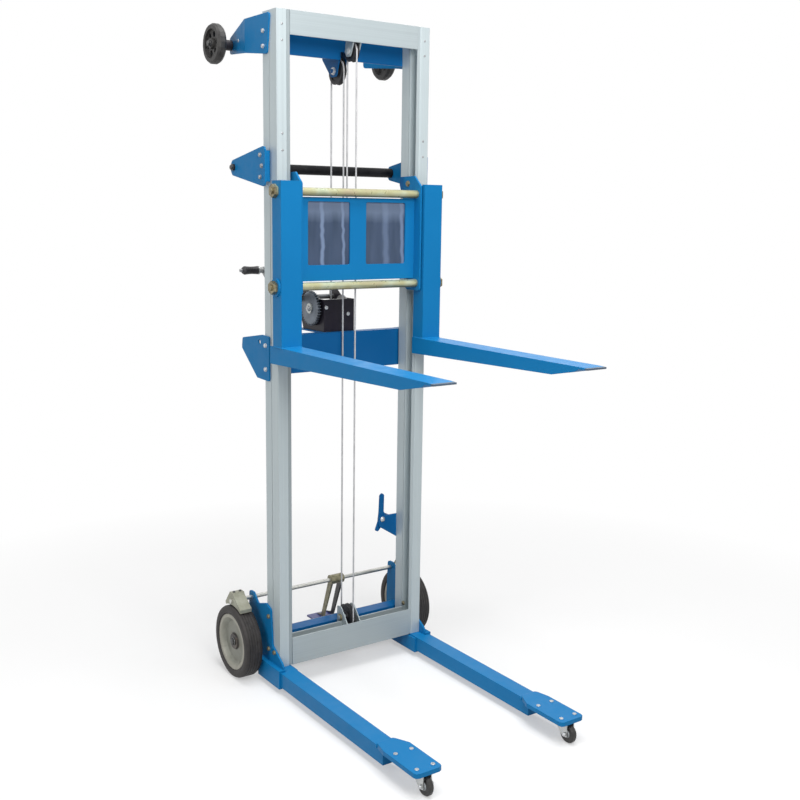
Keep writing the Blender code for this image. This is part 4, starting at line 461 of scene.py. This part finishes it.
# which CAD nodes wear which finish; a star stands for left and right
finishOfNodes = {
    "enamel": (blue, ("rear_top_crossmember", "winch_crossmember", "base_frame", "latch_bracket",
                      "latch_lever", "carriage_panel", "load_wheel_bracket_*", "handle_bracket_*", "leg_*",
                      "carriage_side_*", "fork_*")),
    "columns": (columnMetal, ("moving_column_*", "fixed_column_*")),
    "beams": (shadedBeamMetal, ("top_crossbeam", "lower_crossbeam")),
    "tyres": (tyreBlack, ("tyre_*",)),
    "handle": (handleBlack, ("handle_bar",)),
    "grip": (gripBlack, ("crank_grip",)),
    "nylon": (nylonBlack, ("outer_pulley", "lower_pulley", "upper_pulley", "head_guide_*", "foot_glide_*",
                           "roller_upper_*", "roller_lower_*")),
    "winch": (winchBlack, ("winch_frame",)),
    "bars": (zincYellow, ("upper_bar", "lower_bar")),
    "yokes": (zincSteel, ("caster_yoke_*", "rear_axle")),
    "pedal": (pedalSteel, ("brake_rod",)),
    "crank": (crankSteel, ("crank",)),
    "shoes": (shoeCasting, ("brake_shoe_*",)),
    "gear": (gearSteel, ("winch_drum",)),
    "windows": (window, ("window_*",)),
    "ropes": (wireSteel, ("winch_rope", "mast_lift_rope", "mast_rise_rope", "carriage_rope")),
}
hubs = {"caster": (0.0105, (0.34, 0.36, 0.37)), "load": (0.0100, (0.055, 0.055, 0.060))}  # radius and tone


def giveFinishes():
    given = {}
    for finish, names in finishOfNodes.values():
        for name in names:
            for node in ([name.replace("*", side) for side, _ in bothSides] if "*" in name else [name]):
                given[node] = finish
    for side, _ in bothSides:
        given[f"rim_{side}"] = wheelRim(f"wheelRim_{side}", side)
        for kind, (radius, tone) in hubs.items():
            wheel = f"{kind}_wheel_{side}"
            given[wheel] = hubbedWheel(f"{kind}Moulding_{side}", wheel, radius, tone)
    for node, finish in given.items():
        for slot in nodes[node].material_slots:
            slot.material = finish
    print("finishes on", len(given), "of", len(nodes), "nodes, left:", sorted(set(nodes) - set(given)))


giveFinishes()


# mesh helpers

weldWithin = 0.00001  # points nearer than this become one


# smooth is the sharpest angle that still looks round; a piece given no body is left unattached
def meshPiece(name, bm, finish, body, smooth=35):
    mesh = bpy.data.meshes.new(name)
    bmesh.ops.recalc_face_normals(bm, faces=bm.faces)
    bm.to_mesh(mesh)
    bm.free()
    piece = bpy.data.objects.new(name, mesh)
    bpy.context.scene.collection.objects.link(piece)
    mesh.materials.append(finish)
    mesh.shade_smooth()
    mesh.set_sharp_from_angle(angle=math.radians(smooth))
    if body:
        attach(piece, body)
    return piece


def facing(at, axis):  # a matrix at a point, its Z along an axis
    return Matrix.Translation(Vector(at)) @ Vector(axis).to_track_quat("Z", "Y").to_matrix().to_4x4()


def addRing(bm, profile, matrix, steps):  # turns (radius, height) points round the matrix's Z
    rings = []
    for radius, height in profile:
        if radius < 1e-6:
            rings.append([bm.verts.new(matrix @ Vector((0, 0, height)))])
            continue
        rings.append([
            bm.verts.new(matrix @ Vector((radius * math.cos(2 * math.pi * i / steps),
                                          radius * math.sin(2 * math.pi * i / steps), height)))
            for i in range(steps)
        ])
    for lower, upper in zip(rings, rings[1:]):
        for i in range(steps):
            corners = [lower[i % len(lower)], lower[(i + 1) % len(lower)],
                       upper[(i + 1) % len(upper)], upper[i % len(upper)]]
            seen = []
            for corner in corners:
                if corner not in seen:
                    seen.append(corner)
            if len(seen) > 2:
                bm.faces.new(seen)


# size is across its flats, washer is how much wider than that its washer is
def addHexBolt(bm, at, axis, size, height, washer=1.25, stud=0.0):
    matrix = facing(at, axis)
    radius = size / math.sqrt(3)
    thin = height * 0.22
    addRing(bm, [(0, 0), (size / 2 * washer, 0), (size / 2 * washer, thin), (0, thin)], matrix, 20)
    addRing(bm, [(0, thin * 0.9), (radius, thin * 0.9), (radius, height * 0.86), (radius * 0.84, height),
                 (0, height)], matrix, 6)
    if stud:
        addRing(bm, [(0, height * 0.8), (size * 0.26, height * 0.8), (size * 0.26, height + stud * 0.8),
                     (size * 0.20, height + stud), (0, height + stud)], matrix, 12)


def addDome(bm, at, axis, radius, height):  # a flat-domed head
    addRing(bm, [(0, 0), (radius, 0), (radius * 0.95, height * 0.4), (radius * 0.6, height * 0.9),
                 (0, height)], facing(at, axis), 14)


def addSocketScrew(bm, at, axis, radius, height):  # its socket is left open
    addRing(bm, [(0, 0), (radius, 0), (radius, height * 0.85), (radius * 0.9, height), (radius * 0.5, height),
                 (radius * 0.5, height * 0.4), (0, height * 0.4)], facing(at, axis), 16)


def addTube(bm, points, radiusAt, sides, up=(0, 0, 1)):  # a closed tube; radiusAt(i) is its radius there
    rings = []
    for i, point in enumerate(points):
        here = Vector(point)
        ahead = Vector(points[min(i + 1, len(points) - 1)]) - Vector(points[max(i - 1, 0)])
        ahead.normalize()
        side = ahead.cross(Vector(up))
        if side.length < 1e-4:
            side = ahead.cross(Vector((1, 0, 0)))
        side.normalize()
        over = side.cross(ahead)
        radius = radiusAt(i)
        rings.append([
            bm.verts.new(here + side * radius * math.cos(2 * math.pi * k / sides)
                         + over * radius * math.sin(2 * math.pi * k / sides))
            for k in range(sides)
        ])
    for lower, upper in zip(rings, rings[1:]):
        for k in range(sides):
            bm.faces.new((lower[k], lower[(k + 1) % sides], upper[(k + 1) % sides], upper[k]))
    bm.faces.new(list(reversed(rings[0])))
    bm.faces.new(rings[-1])


bead = {"radius": 0.0024, "ripple": 0.0034, "depth": 0.14, "sides": 8}


def addWeld(bm, start, end):  # a rippled fillet bead
    start, end = Vector(start), Vector(end)
    count = max(6, int((end - start).length / bead["ripple"]) * 4)
    points = [start.lerp(end, i / count) for i in range(count + 1)]

    def radiusAt(i):
        ripple = 1 - bead["depth"] + bead["depth"] * abs(math.sin(math.pi * i / 4))
        return bead["radius"] * ripple * (0.5 if i in (0, count) else 1)

    addTube(bm, points, radiusAt, bead["sides"])


# bolt heads of one kind as one piece; each spot is a point and the way that its head faces
def headsPiece(name, addHead, spots, finish, body, *sizes):
    bm = bmesh.new()
    for at, axis in spots:
        addHead(bm, at, axis, *sizes)
    meshPiece(name, bm, finish, body)


rope = {"radius": 0.0024, "strands": 6, "strandShare": 0.42, "lay": 0.030, "sides": 5, "step": 0.0025,
        "bendStep": 5, "grooveDepth": 0.0035, "startGap": 0.0002}


def ropeStrands(bm, points, normals):  # lays the strands round a path; the normals keep them from twisting
    strand = rope["radius"] * rope["strandShare"]
    reach = rope["radius"] - strand
    travelled = 0.0
    tracks = [[] for _ in range(rope["strands"])]
    for i, point in enumerate(points):
        here = Vector(point)
        if i:
            travelled += (here - Vector(points[i - 1])).length
        ahead = (Vector(points[min(i + 1, len(points) - 1)]) - Vector(points[max(i - 1, 0)])).normalized()
        normal = Vector(normals[i])
        normal = (normal - ahead * normal.dot(ahead)).normalized()
        across = ahead.cross(normal)
        for k, track in enumerate(tracks):
            angle = 2 * math.pi * (travelled / rope["lay"] + k / rope["strands"])
            track.append(here + normal * reach * math.cos(angle) + across * reach * math.sin(angle))
    for track in tracks:
        addTube(bm, track, lambda i: strand, rope["sides"], up=(1, 0, 0))
    addTube(bm, points, lambda i: reach, rope["sides"] + 1, up=(1, 0, 0))


def straightRun(start, end):
    start, end = Vector(start), Vector(end)
    count = max(8, int((end - start).length / rope["step"]))
    return [start.lerp(end, i / count) for i in range(count + 1)]


def arcRun(centre, radius, fromDeg, toDeg):  # on a pulley's pitch circle, angles from +Y towards +Z
    count = max(2, int(abs(toDeg - fromDeg) / rope["bendStep"]))
    angles = [math.radians(fromDeg + (toDeg - fromDeg) * i / count) for i in range(count + 1)]
    return [centre + Vector((0, radius * math.cos(angle), radius * math.sin(angle))) for angle in angles]


def ropePiece(name, points, body, replaced=(), normals=None):
    bm = bmesh.new()
    ropeStrands(bm, points, normals or [Vector((1, 0, 0))] * len(points))
    piece = meshPiece(name, bm, wireSteel, body, smooth=60)
    if replaced:
        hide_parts(*replaced)
    return piece


def uprightRun(name, node, low, high, body=None):  # in a CAD rope's place; gives the run and its two ends
    y = centreOf(node).y
    ends = (ropeX, y, low), (ropeX, y, high)
    return ropePiece(name, straightRun(*ends), body, (node,)), *ends


def fitRopes():
    outer, lower, upper = (centreOf(f"{name}_pulley").z for name in ("outer", "lower", "upper"))
    offDrum = lowOf("winch_rope").z + rope["startGap"]
    uprightRun("winchRopeRun", "winch_rope", offDrum, highOf("winch_rope").z, "base")
    lift, liftLow, liftHigh = uprightRun("mastLiftRun", "mast_lift_rope", lower, outer)
    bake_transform(lift)
    uprightRun("mastRiseRun", "mast_rise_rope", lower, upper, "inner_mast")
    down, downLow, downHigh = uprightRun("carriageRun", "carriage_rope", lowOf("carriage_rope").z, upper)
    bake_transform(down)
    bends = (("outer", 180, "base"), ("lower", -180, "inner_mast"), ("upper", 180, "inner_mast"))
    for name, toDeg, body in bends:
        pulley = f"{name}_pulley"
        pitch = (highOf(pulley).z - lowOf(pulley).z) / 2 - rope["grooveDepth"]
        ropePiece(f"{name}Bend", arcRun(centreOf(pulley), pitch, 0, toDeg), body)


drumCoils = {"turns": 8, "pitch": 0.0054, "barrel": 0.018, "stepsPerTurn": 28}


def windDrum():  # turns side by side on the barrel, ending where the rope leaves it
    centre = centreOf("winch_drum")
    reach = drumCoils["barrel"] + rope["radius"]
    count = int(drumCoils["turns"] * drumCoils["stepsPerTurn"])
    points, normals = [], []
    for i in range(count + 1):
        back = (count - i) / drumCoils["stepsPerTurn"]
        angle = math.pi - 2 * math.pi * back
        outward = Vector((0, math.cos(angle), math.sin(angle)))
        points.append(Vector((ropeX + back * drumCoils["pitch"], centre.y, centre.z)) + outward * reach)
        normals.append(outward)
    ropePiece("drumCoils", points, "winch_drum", normals=normals)


fitRopes()
windDrum()
print("ropes laid")


# mast fittings; each "back" is measured from the front face of the moving columns

columnRivets = {"across": 0.2143, "heights": (1.715, 1.677, 1.4565, 1.416), "head": (0.0030, 0.0012)}


def fitColumnRivets():
    spots = [(fromMast(side * columnRivets["across"], 0, z), (0, -1, 0))
             for _, side in bothSides for z in columnRivets["heights"]]
    headsPiece("columnRivets", addDome, spots, crankSteel, "inner_mast", *columnRivets["head"])


# body, and how far each nut sits from the pulley's middle
pulleyNuts = {"nut": (0.016, 0.0052), "outer": ("base", 0.0125), "upper": ("inner_mast", 0.0125),
              "lower": ("inner_mast", 0.0225)}


def fitPulleyNuts():
    for name in ("outer", "upper", "lower"):
        body, reach = pulleyNuts[name]
        spots = [(centreOf(f"{name}_pulley") + Vector((side * reach, 0, 0)), (side, 0, 0)) for side in (-1, 1)]
        headsPiece(f"{name}PulleyNuts", addHexBolt, spots, oliveSteel if name == "lower" else boltSteel, body,
                   *pulleyNuts["nut"])


loadFittings = {"plate": 0.2343, "bolts": ((0.058, 1.703), (0.059, 1.667)), "bolt": (0.009, 0.0045),
                "tongueBolt": (0.212, 1.698), "tongueHead": (0.0045, 0.0022), "bendAt": 0.158, "bend": 0.17,
                "boss": 0.0112, "sleeve": 0.0135, "sleeveStart": 0.003, "sleeveGap": 0.0010,
                "nut": (0.013, 0.007, 1.35), "nutGap": 0.0006}


def fitLoadWheels():
    look = loadFittings
    wheelInner, wheelOuter = lowOf("load_wheel_right").x, highOf("load_wheel_right").x
    for sideName, side in bothSides:
        wheel = centreOf(f"load_wheel_{sideName}")
        bm = bmesh.new()
        for back, z in look["bolts"]:
            addHexBolt(bm, fromMast(side * look["plate"], back, z), (side, 0, 0), *look["bolt"])
        back, z = look["tongueBolt"]
        inward = look["bend"] * (back - look["bendAt"])
        addDome(bm, fromMast(side * (look["plate"] - inward), back, z), (side, look["bend"], 0),
                *look["tongueHead"])
        meshPiece(f"loadBracketBolts_{sideName}", bm, boltSteel, "base")
        # black sleeve over the boss between the bent tongue and the wheel
        start = look["plate"] - look["bend"] * (wheel.y - mastFront - look["bendAt"]) + look["sleeveStart"]
        length = wheelInner - look["sleeveGap"] - start
        bm = bmesh.new()
        addRing(bm, [(look["boss"], 0), (look["sleeve"], 0), (look["sleeve"], length), (look["boss"], length),
                     (look["boss"], 0)], facing((side * start, wheel.y, wheel.z), (side, 0, 0)), 28)
        bmesh.ops.remove_doubles(bm, verts=bm.verts, dist=weldWithin)
        meshPiece(f"loadSleeve_{sideName}", bm, spacerBlack, "base")
        nutAt = (side * (wheelOuter + look["nutGap"]), wheel.y, wheel.z)
        headsPiece(f"loadWheelNut_{sideName}", addHexBolt, [(nutAt, (side, 0, 0))], darkBolt, "base",
                   *look["nut"])


# bolts by how far back and how far above the bar they stand
handleFittings = {"bolts": ((0.049, 0.027), (0.049, -0.027), (0.041, 0.0)), "bolt": (0.009, 0.0045),
                  "endBolt": (0.012, 0.006, 1.5)}


def fitHandle():
    bar = centreOf("handle_bar")
    for sideName, side in bothSides:
        spots = [(fromMast(side * highOf("handle_bracket_right").x, back, bar.z + rise), (side, 0, 0))
                 for back, rise in handleFittings["bolts"]]
        headsPiece(f"handleBolts_{sideName}", addHexBolt, spots, crankSteel, "base", *handleFittings["bolt"])
        end = (side * highOf("handle_bar").x, bar.y, bar.z)
        headsPiece(f"handleEndBolt_{sideName}", addHexBolt, [(end, (side, 0, 0))], darkBolt, "base",
                   *handleFittings["endBolt"])


winchFittings = {"plate": 0.2343, "plateBolts": ((0.058, 0.925), (0.058, 0.863)), "bolt": (0.010, 0.005),
                 "face": 0.098, "screws": ((-0.0298, 1.0116), (0.0396, 0.992)), "screw": (0.0052, 0.0035),
                 "footBolts": ((-0.020, 0.175), (0.044, 0.175), (-0.020, 0.118), (0.044, 0.118)),
                 "footPlate": 0.0032, "gearNut": (0.014, 0.006, 1.2, 0.002)}


def fitWinch():
    look = winchFittings
    for sideName, side in bothSides:
        spots = [(fromMast(side * look["plate"], back, z), (side, 0, 0)) for back, z in look["plateBolts"]]
        headsPiece(f"winchPlateBolts_{sideName}", addHexBolt, spots, boltSteel, "base", *look["bolt"])
    spots = [(fromMast(x, look["face"], z), (0, -1, 0)) for x, z in look["screws"]]
    headsPiece("winchFaceScrews", addSocketScrew, spots, boltSteel, "base", *look["screw"])
    footTop = lowOf("winch_frame").z + look["footPlate"]
    spots = [(fromMast(x, back, footTop), (0, 0, 1)) for x, back in look["footBolts"]]
    headsPiece("winchFootBolts", addHexBolt, spots, boltSteel, "base", *look["bolt"])
    drum = centreOf("winch_drum")
    spots = [((x, drum.y, drum.z), (side, 0, 0))
             for x, side in ((lowOf("winch_drum").x, -1), (highOf("winch_drum").x, 1))]
    headsPiece("gearNuts", addHexBolt, spots, boltSteel, "winch_drum", *look["gearNut"])


latchFittings = {"pivot": (0.144, 0.397), "nut": (0.012, 0.005, 1.3), "head": (0.0080, 0.005),
                 "bracketBack": 0.0745, "bracketBolts": ((0.206, 0.397), (0.216, 0.362)),
                 "bracketBolt": (0.008, 0.004)}


def fitLatch():
    look = latchFittings
    x, z = look["pivot"]
    headsPiece("latchPivotNut", addHexBolt, [((x, highOf("latch_lever").y, z), (0, 1, 0))], boltSteel, "latch",
               *look["nut"])
    headsPiece("latchPivotHead", addDome, [((x, lowOf("latch_bracket").y, z), (0, -1, 0))], boltSteel, "latch",
               *look["head"])
    spots = [(fromMast(x, look["bracketBack"], z), (0, 1, 0)) for x, z in look["bracketBolts"]]
    headsPiece("latchBracketBolts", addHexBolt, spots, boltSteel, "base", *look["bracketBolt"])


fitColumnRivets()
fitPulleyNuts()
fitLoadWheels()
fitHandle()
fitWinch()
fitLatch()
print("mast fittings done")


# carriage and forks

rollerPins = {"nut": (0.0125, 0.0045, 1.3), "sunk": 0.0002}


def fitRollerPins():
    inner = lowOf("carriage_side_right").x - rollerPins["sunk"]
    for sideName, side in bothSides:
        rollers = [centreOf(f"roller_{level}_{sideName}") for level in ("upper", "lower")]
        spots = [((side * inner, roller.y, roller.z), (-side, 0, 0)) for roller in rollers]
        headsPiece(f"rollerPinNuts_{sideName}", addHexBolt, spots, oliveSteel, "carriage", *rollerPins["nut"])


ropeEnd = {"nutAt": (-0.007, 0.0455, 1.130), "nut": (0.011, 0.006, 1.3, 0.003), "sleeve": 0.0055,
           "length": 0.022}


def fitRopeEnd():  # pressed sleeve where the rope ends on the carriage, and the nut of its strap
    sleeve, length = ropeEnd["sleeve"], ropeEnd["length"]
    at = Vector((ropeX, centreOf("carriage_rope").y, lowOf("carriage_rope").z))
    bm = bmesh.new()
    addRing(bm, [(0, 0), (sleeve * 0.9, 0), (sleeve, 0.002), (sleeve, length - 0.003), (sleeve * 0.75, length),
                 (0, length)], facing(at, (0, 0, 1)), 20)
    meshPiece("ropeSleeve", bm, boltSteel, "carriage")
    spots = [(fromMast(*ropeEnd["nutAt"]), (0, -1, 0))]
    headsPiece("ropeAnchorNut", addHexBolt, spots, oliveSteel, "carriage", *ropeEnd["nut"])


forkWelds = {"inner": 0.188, "outer": 0.246, "front": -0.048, "rear": -0.005, "top": 0.930}


def weldForks():
    front, rear, top = (forkWelds[key] for key in ("front", "rear", "top"))
    for sideName, side in bothSides:
        inner, outer = side * forkWelds["inner"], side * forkWelds["outer"]
        bm = bmesh.new()
        addWeld(bm, fromMast(inner, front, top), fromMast(outer, front, top))
        for x in (inner, outer):
            addWeld(bm, fromMast(x, front, top), fromMast(x, rear, top))
        meshPiece(f"forkWelds_{sideName}", bm, blue, "carriage", smooth=50)


fitRollerPins()
fitRopeEnd()
weldForks()
print("carriage fittings done")


# legs, wheels and brake

panFittings = {"across": (0.194, 0.238), "backs": (-0.556, -0.638), "screw": (0.0052, 0.0026), "sunk": 0.0002,
               "panRear": -0.488, "legMiddle": 0.2215, "legHalf": 0.023, "legTop": 0.060,
               "sideWeld": (0.008, 0.0005)}  # how far below the leg's top the side welds start and end


def fitPans():
    look = panFittings
    panTop = highOf("leg_left").z - look["sunk"]
    rear, legTop = look["panRear"], look["legTop"]
    for sideName, side in bothSides:
        spots = [(fromMast(side * across, back, panTop), (0, 0, 1))
                 for across in look["across"] for back in look["backs"]]
        headsPiece(f"panBolts_{sideName}", addSocketScrew, spots, boltSteel, "base", *look["screw"])
        middle = side * look["legMiddle"]
        edges = (middle - look["legHalf"], middle + look["legHalf"])
        bm = bmesh.new()
        addWeld(bm, *(fromMast(x, rear, legTop) for x in edges))
        for x in edges:
            addWeld(bm, *(fromMast(x, rear, legTop - below) for below in look["sideWeld"]))
        meshPiece(f"panWelds_{sideName}", bm, blue, "base", smooth=50)


casterPins = {"nut": (0.009, 0.004, 1.2, 0.0015), "head": (0.005, 0.003), "cheek": 0.0057}


def fitCasterPins():
    cheek = casterPins["cheek"]
    for sideName, _ in bothSides:
        yoke = f"caster_yoke_{sideName}"
        wheel = centreOf(f"caster_wheel_{sideName}")
        bm = bmesh.new()
        addHexBolt(bm, (highOf(yoke).x - cheek, wheel.y, wheel.z), (1, 0, 0), *casterPins["nut"])
        addDome(bm, (lowOf(yoke).x + cheek, wheel.y, wheel.z), (-1, 0, 0), *casterPins["head"])
        meshPiece(f"casterPin_{sideName}", bm, boltSteel, f"caster_{sideName}")


# the wall's points are radius and distance from the middle of the tyre
tyreShape = {"wall": ((0.0776, 0.0215), (0.0800, 0.0242), (0.0860, 0.0250), (0.0930, 0.0247), (0.0972, 0.0226),
                      (0.0992, 0.0190)), "crown": 0.1000, "grooves": 5, "width": 0.0016, "depth": 0.0014,
             "steps": 72}


def mouldTyres():  # tyres with a grooved tread
    look = tyreShape
    shoulder = look["wall"][-1][1]
    pitch = 2 * shoulder / look["grooves"]
    tread = []
    for groove in range(look["grooves"]):
        at = shoulder - (groove + 0.5) * pitch
        for across, deep in ((0.9, 0), (0.5, 1), (-0.5, 1), (-0.9, 0)):
            tread.append((look["crown"] - deep * look["depth"], at + across * look["width"]))
    farWall = [(radius, -across) for radius, across in reversed(look["wall"])]
    profile = [*look["wall"], *tread, *farWall, look["wall"][0]]
    for sideName, side in bothSides:
        bm = bmesh.new()
        addRing(bm, profile, facing(centreOf(f"tyre_{sideName}"), (side, 0, 0)), look["steps"])
        bmesh.ops.remove_doubles(bm, verts=bm.verts, dist=weldWithin)
        tyre = meshPiece(f"tyreTread_{sideName}", bm, tyreBlack, f"rear_wheel_{sideName}", 25)
        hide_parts(f"tyre_{sideName}")


wheelFittings = {"nut": (0.017, 0.0062, 1.45), "nutSunk": 0.0022, "screw": (0.0036, 0.0034),
                 "screwSpan": 0.009, "screwBack": 0.0355, "screwSunk": 0.0004}


def fitRearWheels():
    look = wheelFittings
    for sideName, side in bothSides:
        wheel = centreOf(f"rim_{sideName}")
        nutAt = (side * (highOf("rear_axle").x - look["nutSunk"]), wheel.y, wheel.z)
        headsPiece(f"wheelNut_{sideName}", addHexBolt, [(nutAt, (side, 0, 0))], darkBolt, "base", *look["nut"])
        shoe = f"brake_shoe_{sideName}"
        screwY = centreOf("brake_rod").y - look["screwBack"]
        screwZ = highOf(shoe).z - look["screwSunk"]
        spots = [((centreOf(shoe).x + offset, screwY, screwZ), (0, 0, 1))
                 for offset in (-look["screwSpan"], look["screwSpan"])]
        headsPiece(f"shoeScrews_{sideName}", addSocketScrew, spots, darkBolt, "brake", *look["screw"])


baseBolts = {"plate": 0.2353, "places": ((0.052, 0.098), (0.052, 0.190), (0.020, 0.098)),
             "bolt": (0.010, 0.005), "foot": (0.0265, 0.1475), "footBolt": (0.010, 0.004), "sunk": 0.0002}


def fitBaseBolts():
    look = baseBolts
    spots = [(fromMast(side * look["plate"], back, z), (side, 0, 0))
             for _, side in bothSides for back, z in look["places"]]
    headsPiece("basePlateBolts", addHexBolt, spots, oliveSteel, "base", *look["bolt"])
    footX = columnInner - look["sunk"]
    spots = [(fromMast(side * footX, *look["foot"]), (-side, 0, 0)) for _, side in bothSides]
    headsPiece("footBolts", addHexBolt, spots, oliveSteel, "inner_mast", *look["footBolt"])


fitPans()
fitCasterPins()
mouldTyres()
fitRearWheels()
fitBaseBolts()
print("legs, wheels and brake done")


# camera, light and floor

camera = {"at": (-1.5158, mastFront - 2.375, 1.2761), "yaw": -35.053, "tilt": 79.8405, "roll": 0.8079,
          "lens": 47.86}


def setCamera():
    data = bpy.data.cameras.new("photoCamera")
    data.lens = camera["lens"]
    data.sensor_width = 36
    data.clip_end = 100
    eye = bpy.data.objects.new("photoCamera", data)
    bpy.context.scene.collection.objects.link(eye)
    yaw, tilt, roll = (Matrix.Rotation(math.radians(camera[name]), 4, axis)
                       for name, axis in (("yaw", "Z"), ("tilt", "X"), ("roll", "Z")))
    eye.matrix_world = Matrix.Translation(Vector(camera["at"])) @ yaw @ tilt @ roll
    bpy.context.scene.camera = eye


studio = {
    "fill": 0.15,
    "boxes": {
        "keyLight": {"at": (-0.5, -1.9, 2.3), "aim": (0, 0, 1.4), "power": 40, "size": 1.2},
        "topLight": {"at": (0.0, -0.6, 4.3), "aim": (0, -0.2, 0.5), "power": 120, "size": 2.4},
        "sideLight": {"at": (-3.6, -0.3, 2.3), "aim": (0, 0, 0.9), "power": 44, "size": 2.4},
        "rearLight": {"at": (2.4, 3.0, 2.8), "aim": (0, 0, 1.0), "power": 9, "size": 2.4},
    },
    "floorSize": 40, "floorDrop": 0.0006, "floorTone": 0.55, "floorClear": (0.7, 2.0), "floorGlow": 0.42,
}


def softbox(name, at, aim, power, size):
    data = bpy.data.lights.new(name, "AREA")
    data.energy = power
    data.size = size
    lamp = bpy.data.objects.new(name, data)
    lamp.visible_camera = False
    bpy.context.scene.collection.objects.link(lamp)
    lamp.location = at
    lamp.rotation_euler = (Vector(aim) - Vector(at)).to_track_quat("-Z", "Y").to_euler()


def seenDirectly(tree):  # 1 for camera, glossy and transmitted rays, so that metal and glass see white too
    path = addNode(tree, "ShaderNodeLightPath")
    first = mathNode(tree, "MAXIMUM", path.outputs["Is Camera Ray"], path.outputs["Is Glossy Ray"])
    return mathNode(tree, "MAXIMUM", first, path.outputs["Is Transmission Ray"])


def setFloor():
    bm = bmesh.new()
    bmesh.ops.create_grid(bm, x_segments=1, y_segments=1, size=studio["floorSize"])
    mesh = bpy.data.meshes.new("studioFloor")
    bm.to_mesh(mesh)
    bm.free()
    floor = bpy.data.objects.new("studioFloor", mesh)
    bpy.context.scene.collection.objects.link(floor)
    floor.location.z = -studio["floorDrop"]
    finish, tree, shader = newFinish("studioFloor")
    grey, paler = ((tone, tone, tone) for tone in (studio["floorTone"], studio["floorTone"] + 0.02))
    setSurface(tree, shader, mixColours(tree, noiseAt(tree, 3, detail=2), grey, paler), 0.9, gloss=0.1)
    shader.inputs["Emission Color"].default_value = (1, 1, 1, 1)
    seen = seenDirectly(tree)
    plug(tree, shader.inputs["Emission Strength"], mathNode(tree, "MULTIPLY", seen, studio["floorGlow"]))
    # away from the trolley the floor runs out into the white backdrop
    out = lengthOf(tree, axisOf(tree, 0), axisOf(tree, 1))
    fade = mathNode(tree, "MULTIPLY", between(tree, out, *studio["floorClear"]), seen)
    white = addNode(tree, "ShaderNodeEmission", Strength=1.0)
    blend = addNode(tree, "ShaderNodeMixShader")
    for socket, value in zip(blend.inputs, (fade, shader.outputs[0], white.outputs[0])):
        plug(tree, socket, value)
    tree.links.new(blend.outputs[0], tree.nodes["Material Output"].inputs["Surface"])
    mesh.materials.append(finish)


def setStudio():
    world = bpy.data.worlds.new("studioWorld")
    bpy.context.scene.world = world
    world.use_nodes = True
    tree = world.node_tree
    back = tree.nodes["Background"]
    back.inputs["Color"].default_value = (1, 1, 1, 1)
    tree.links.new(between(tree, seenDirectly(tree), 0, 1, studio["fill"], 1.0), back.inputs["Strength"])
    for name, look in studio["boxes"].items():
        softbox(name, look["at"], look["aim"], look["power"], look["size"])
    setFloor()


setCamera()
setStudio()
bpy.context.scene.view_settings.view_transform = "Standard"
print("camera and studio set")
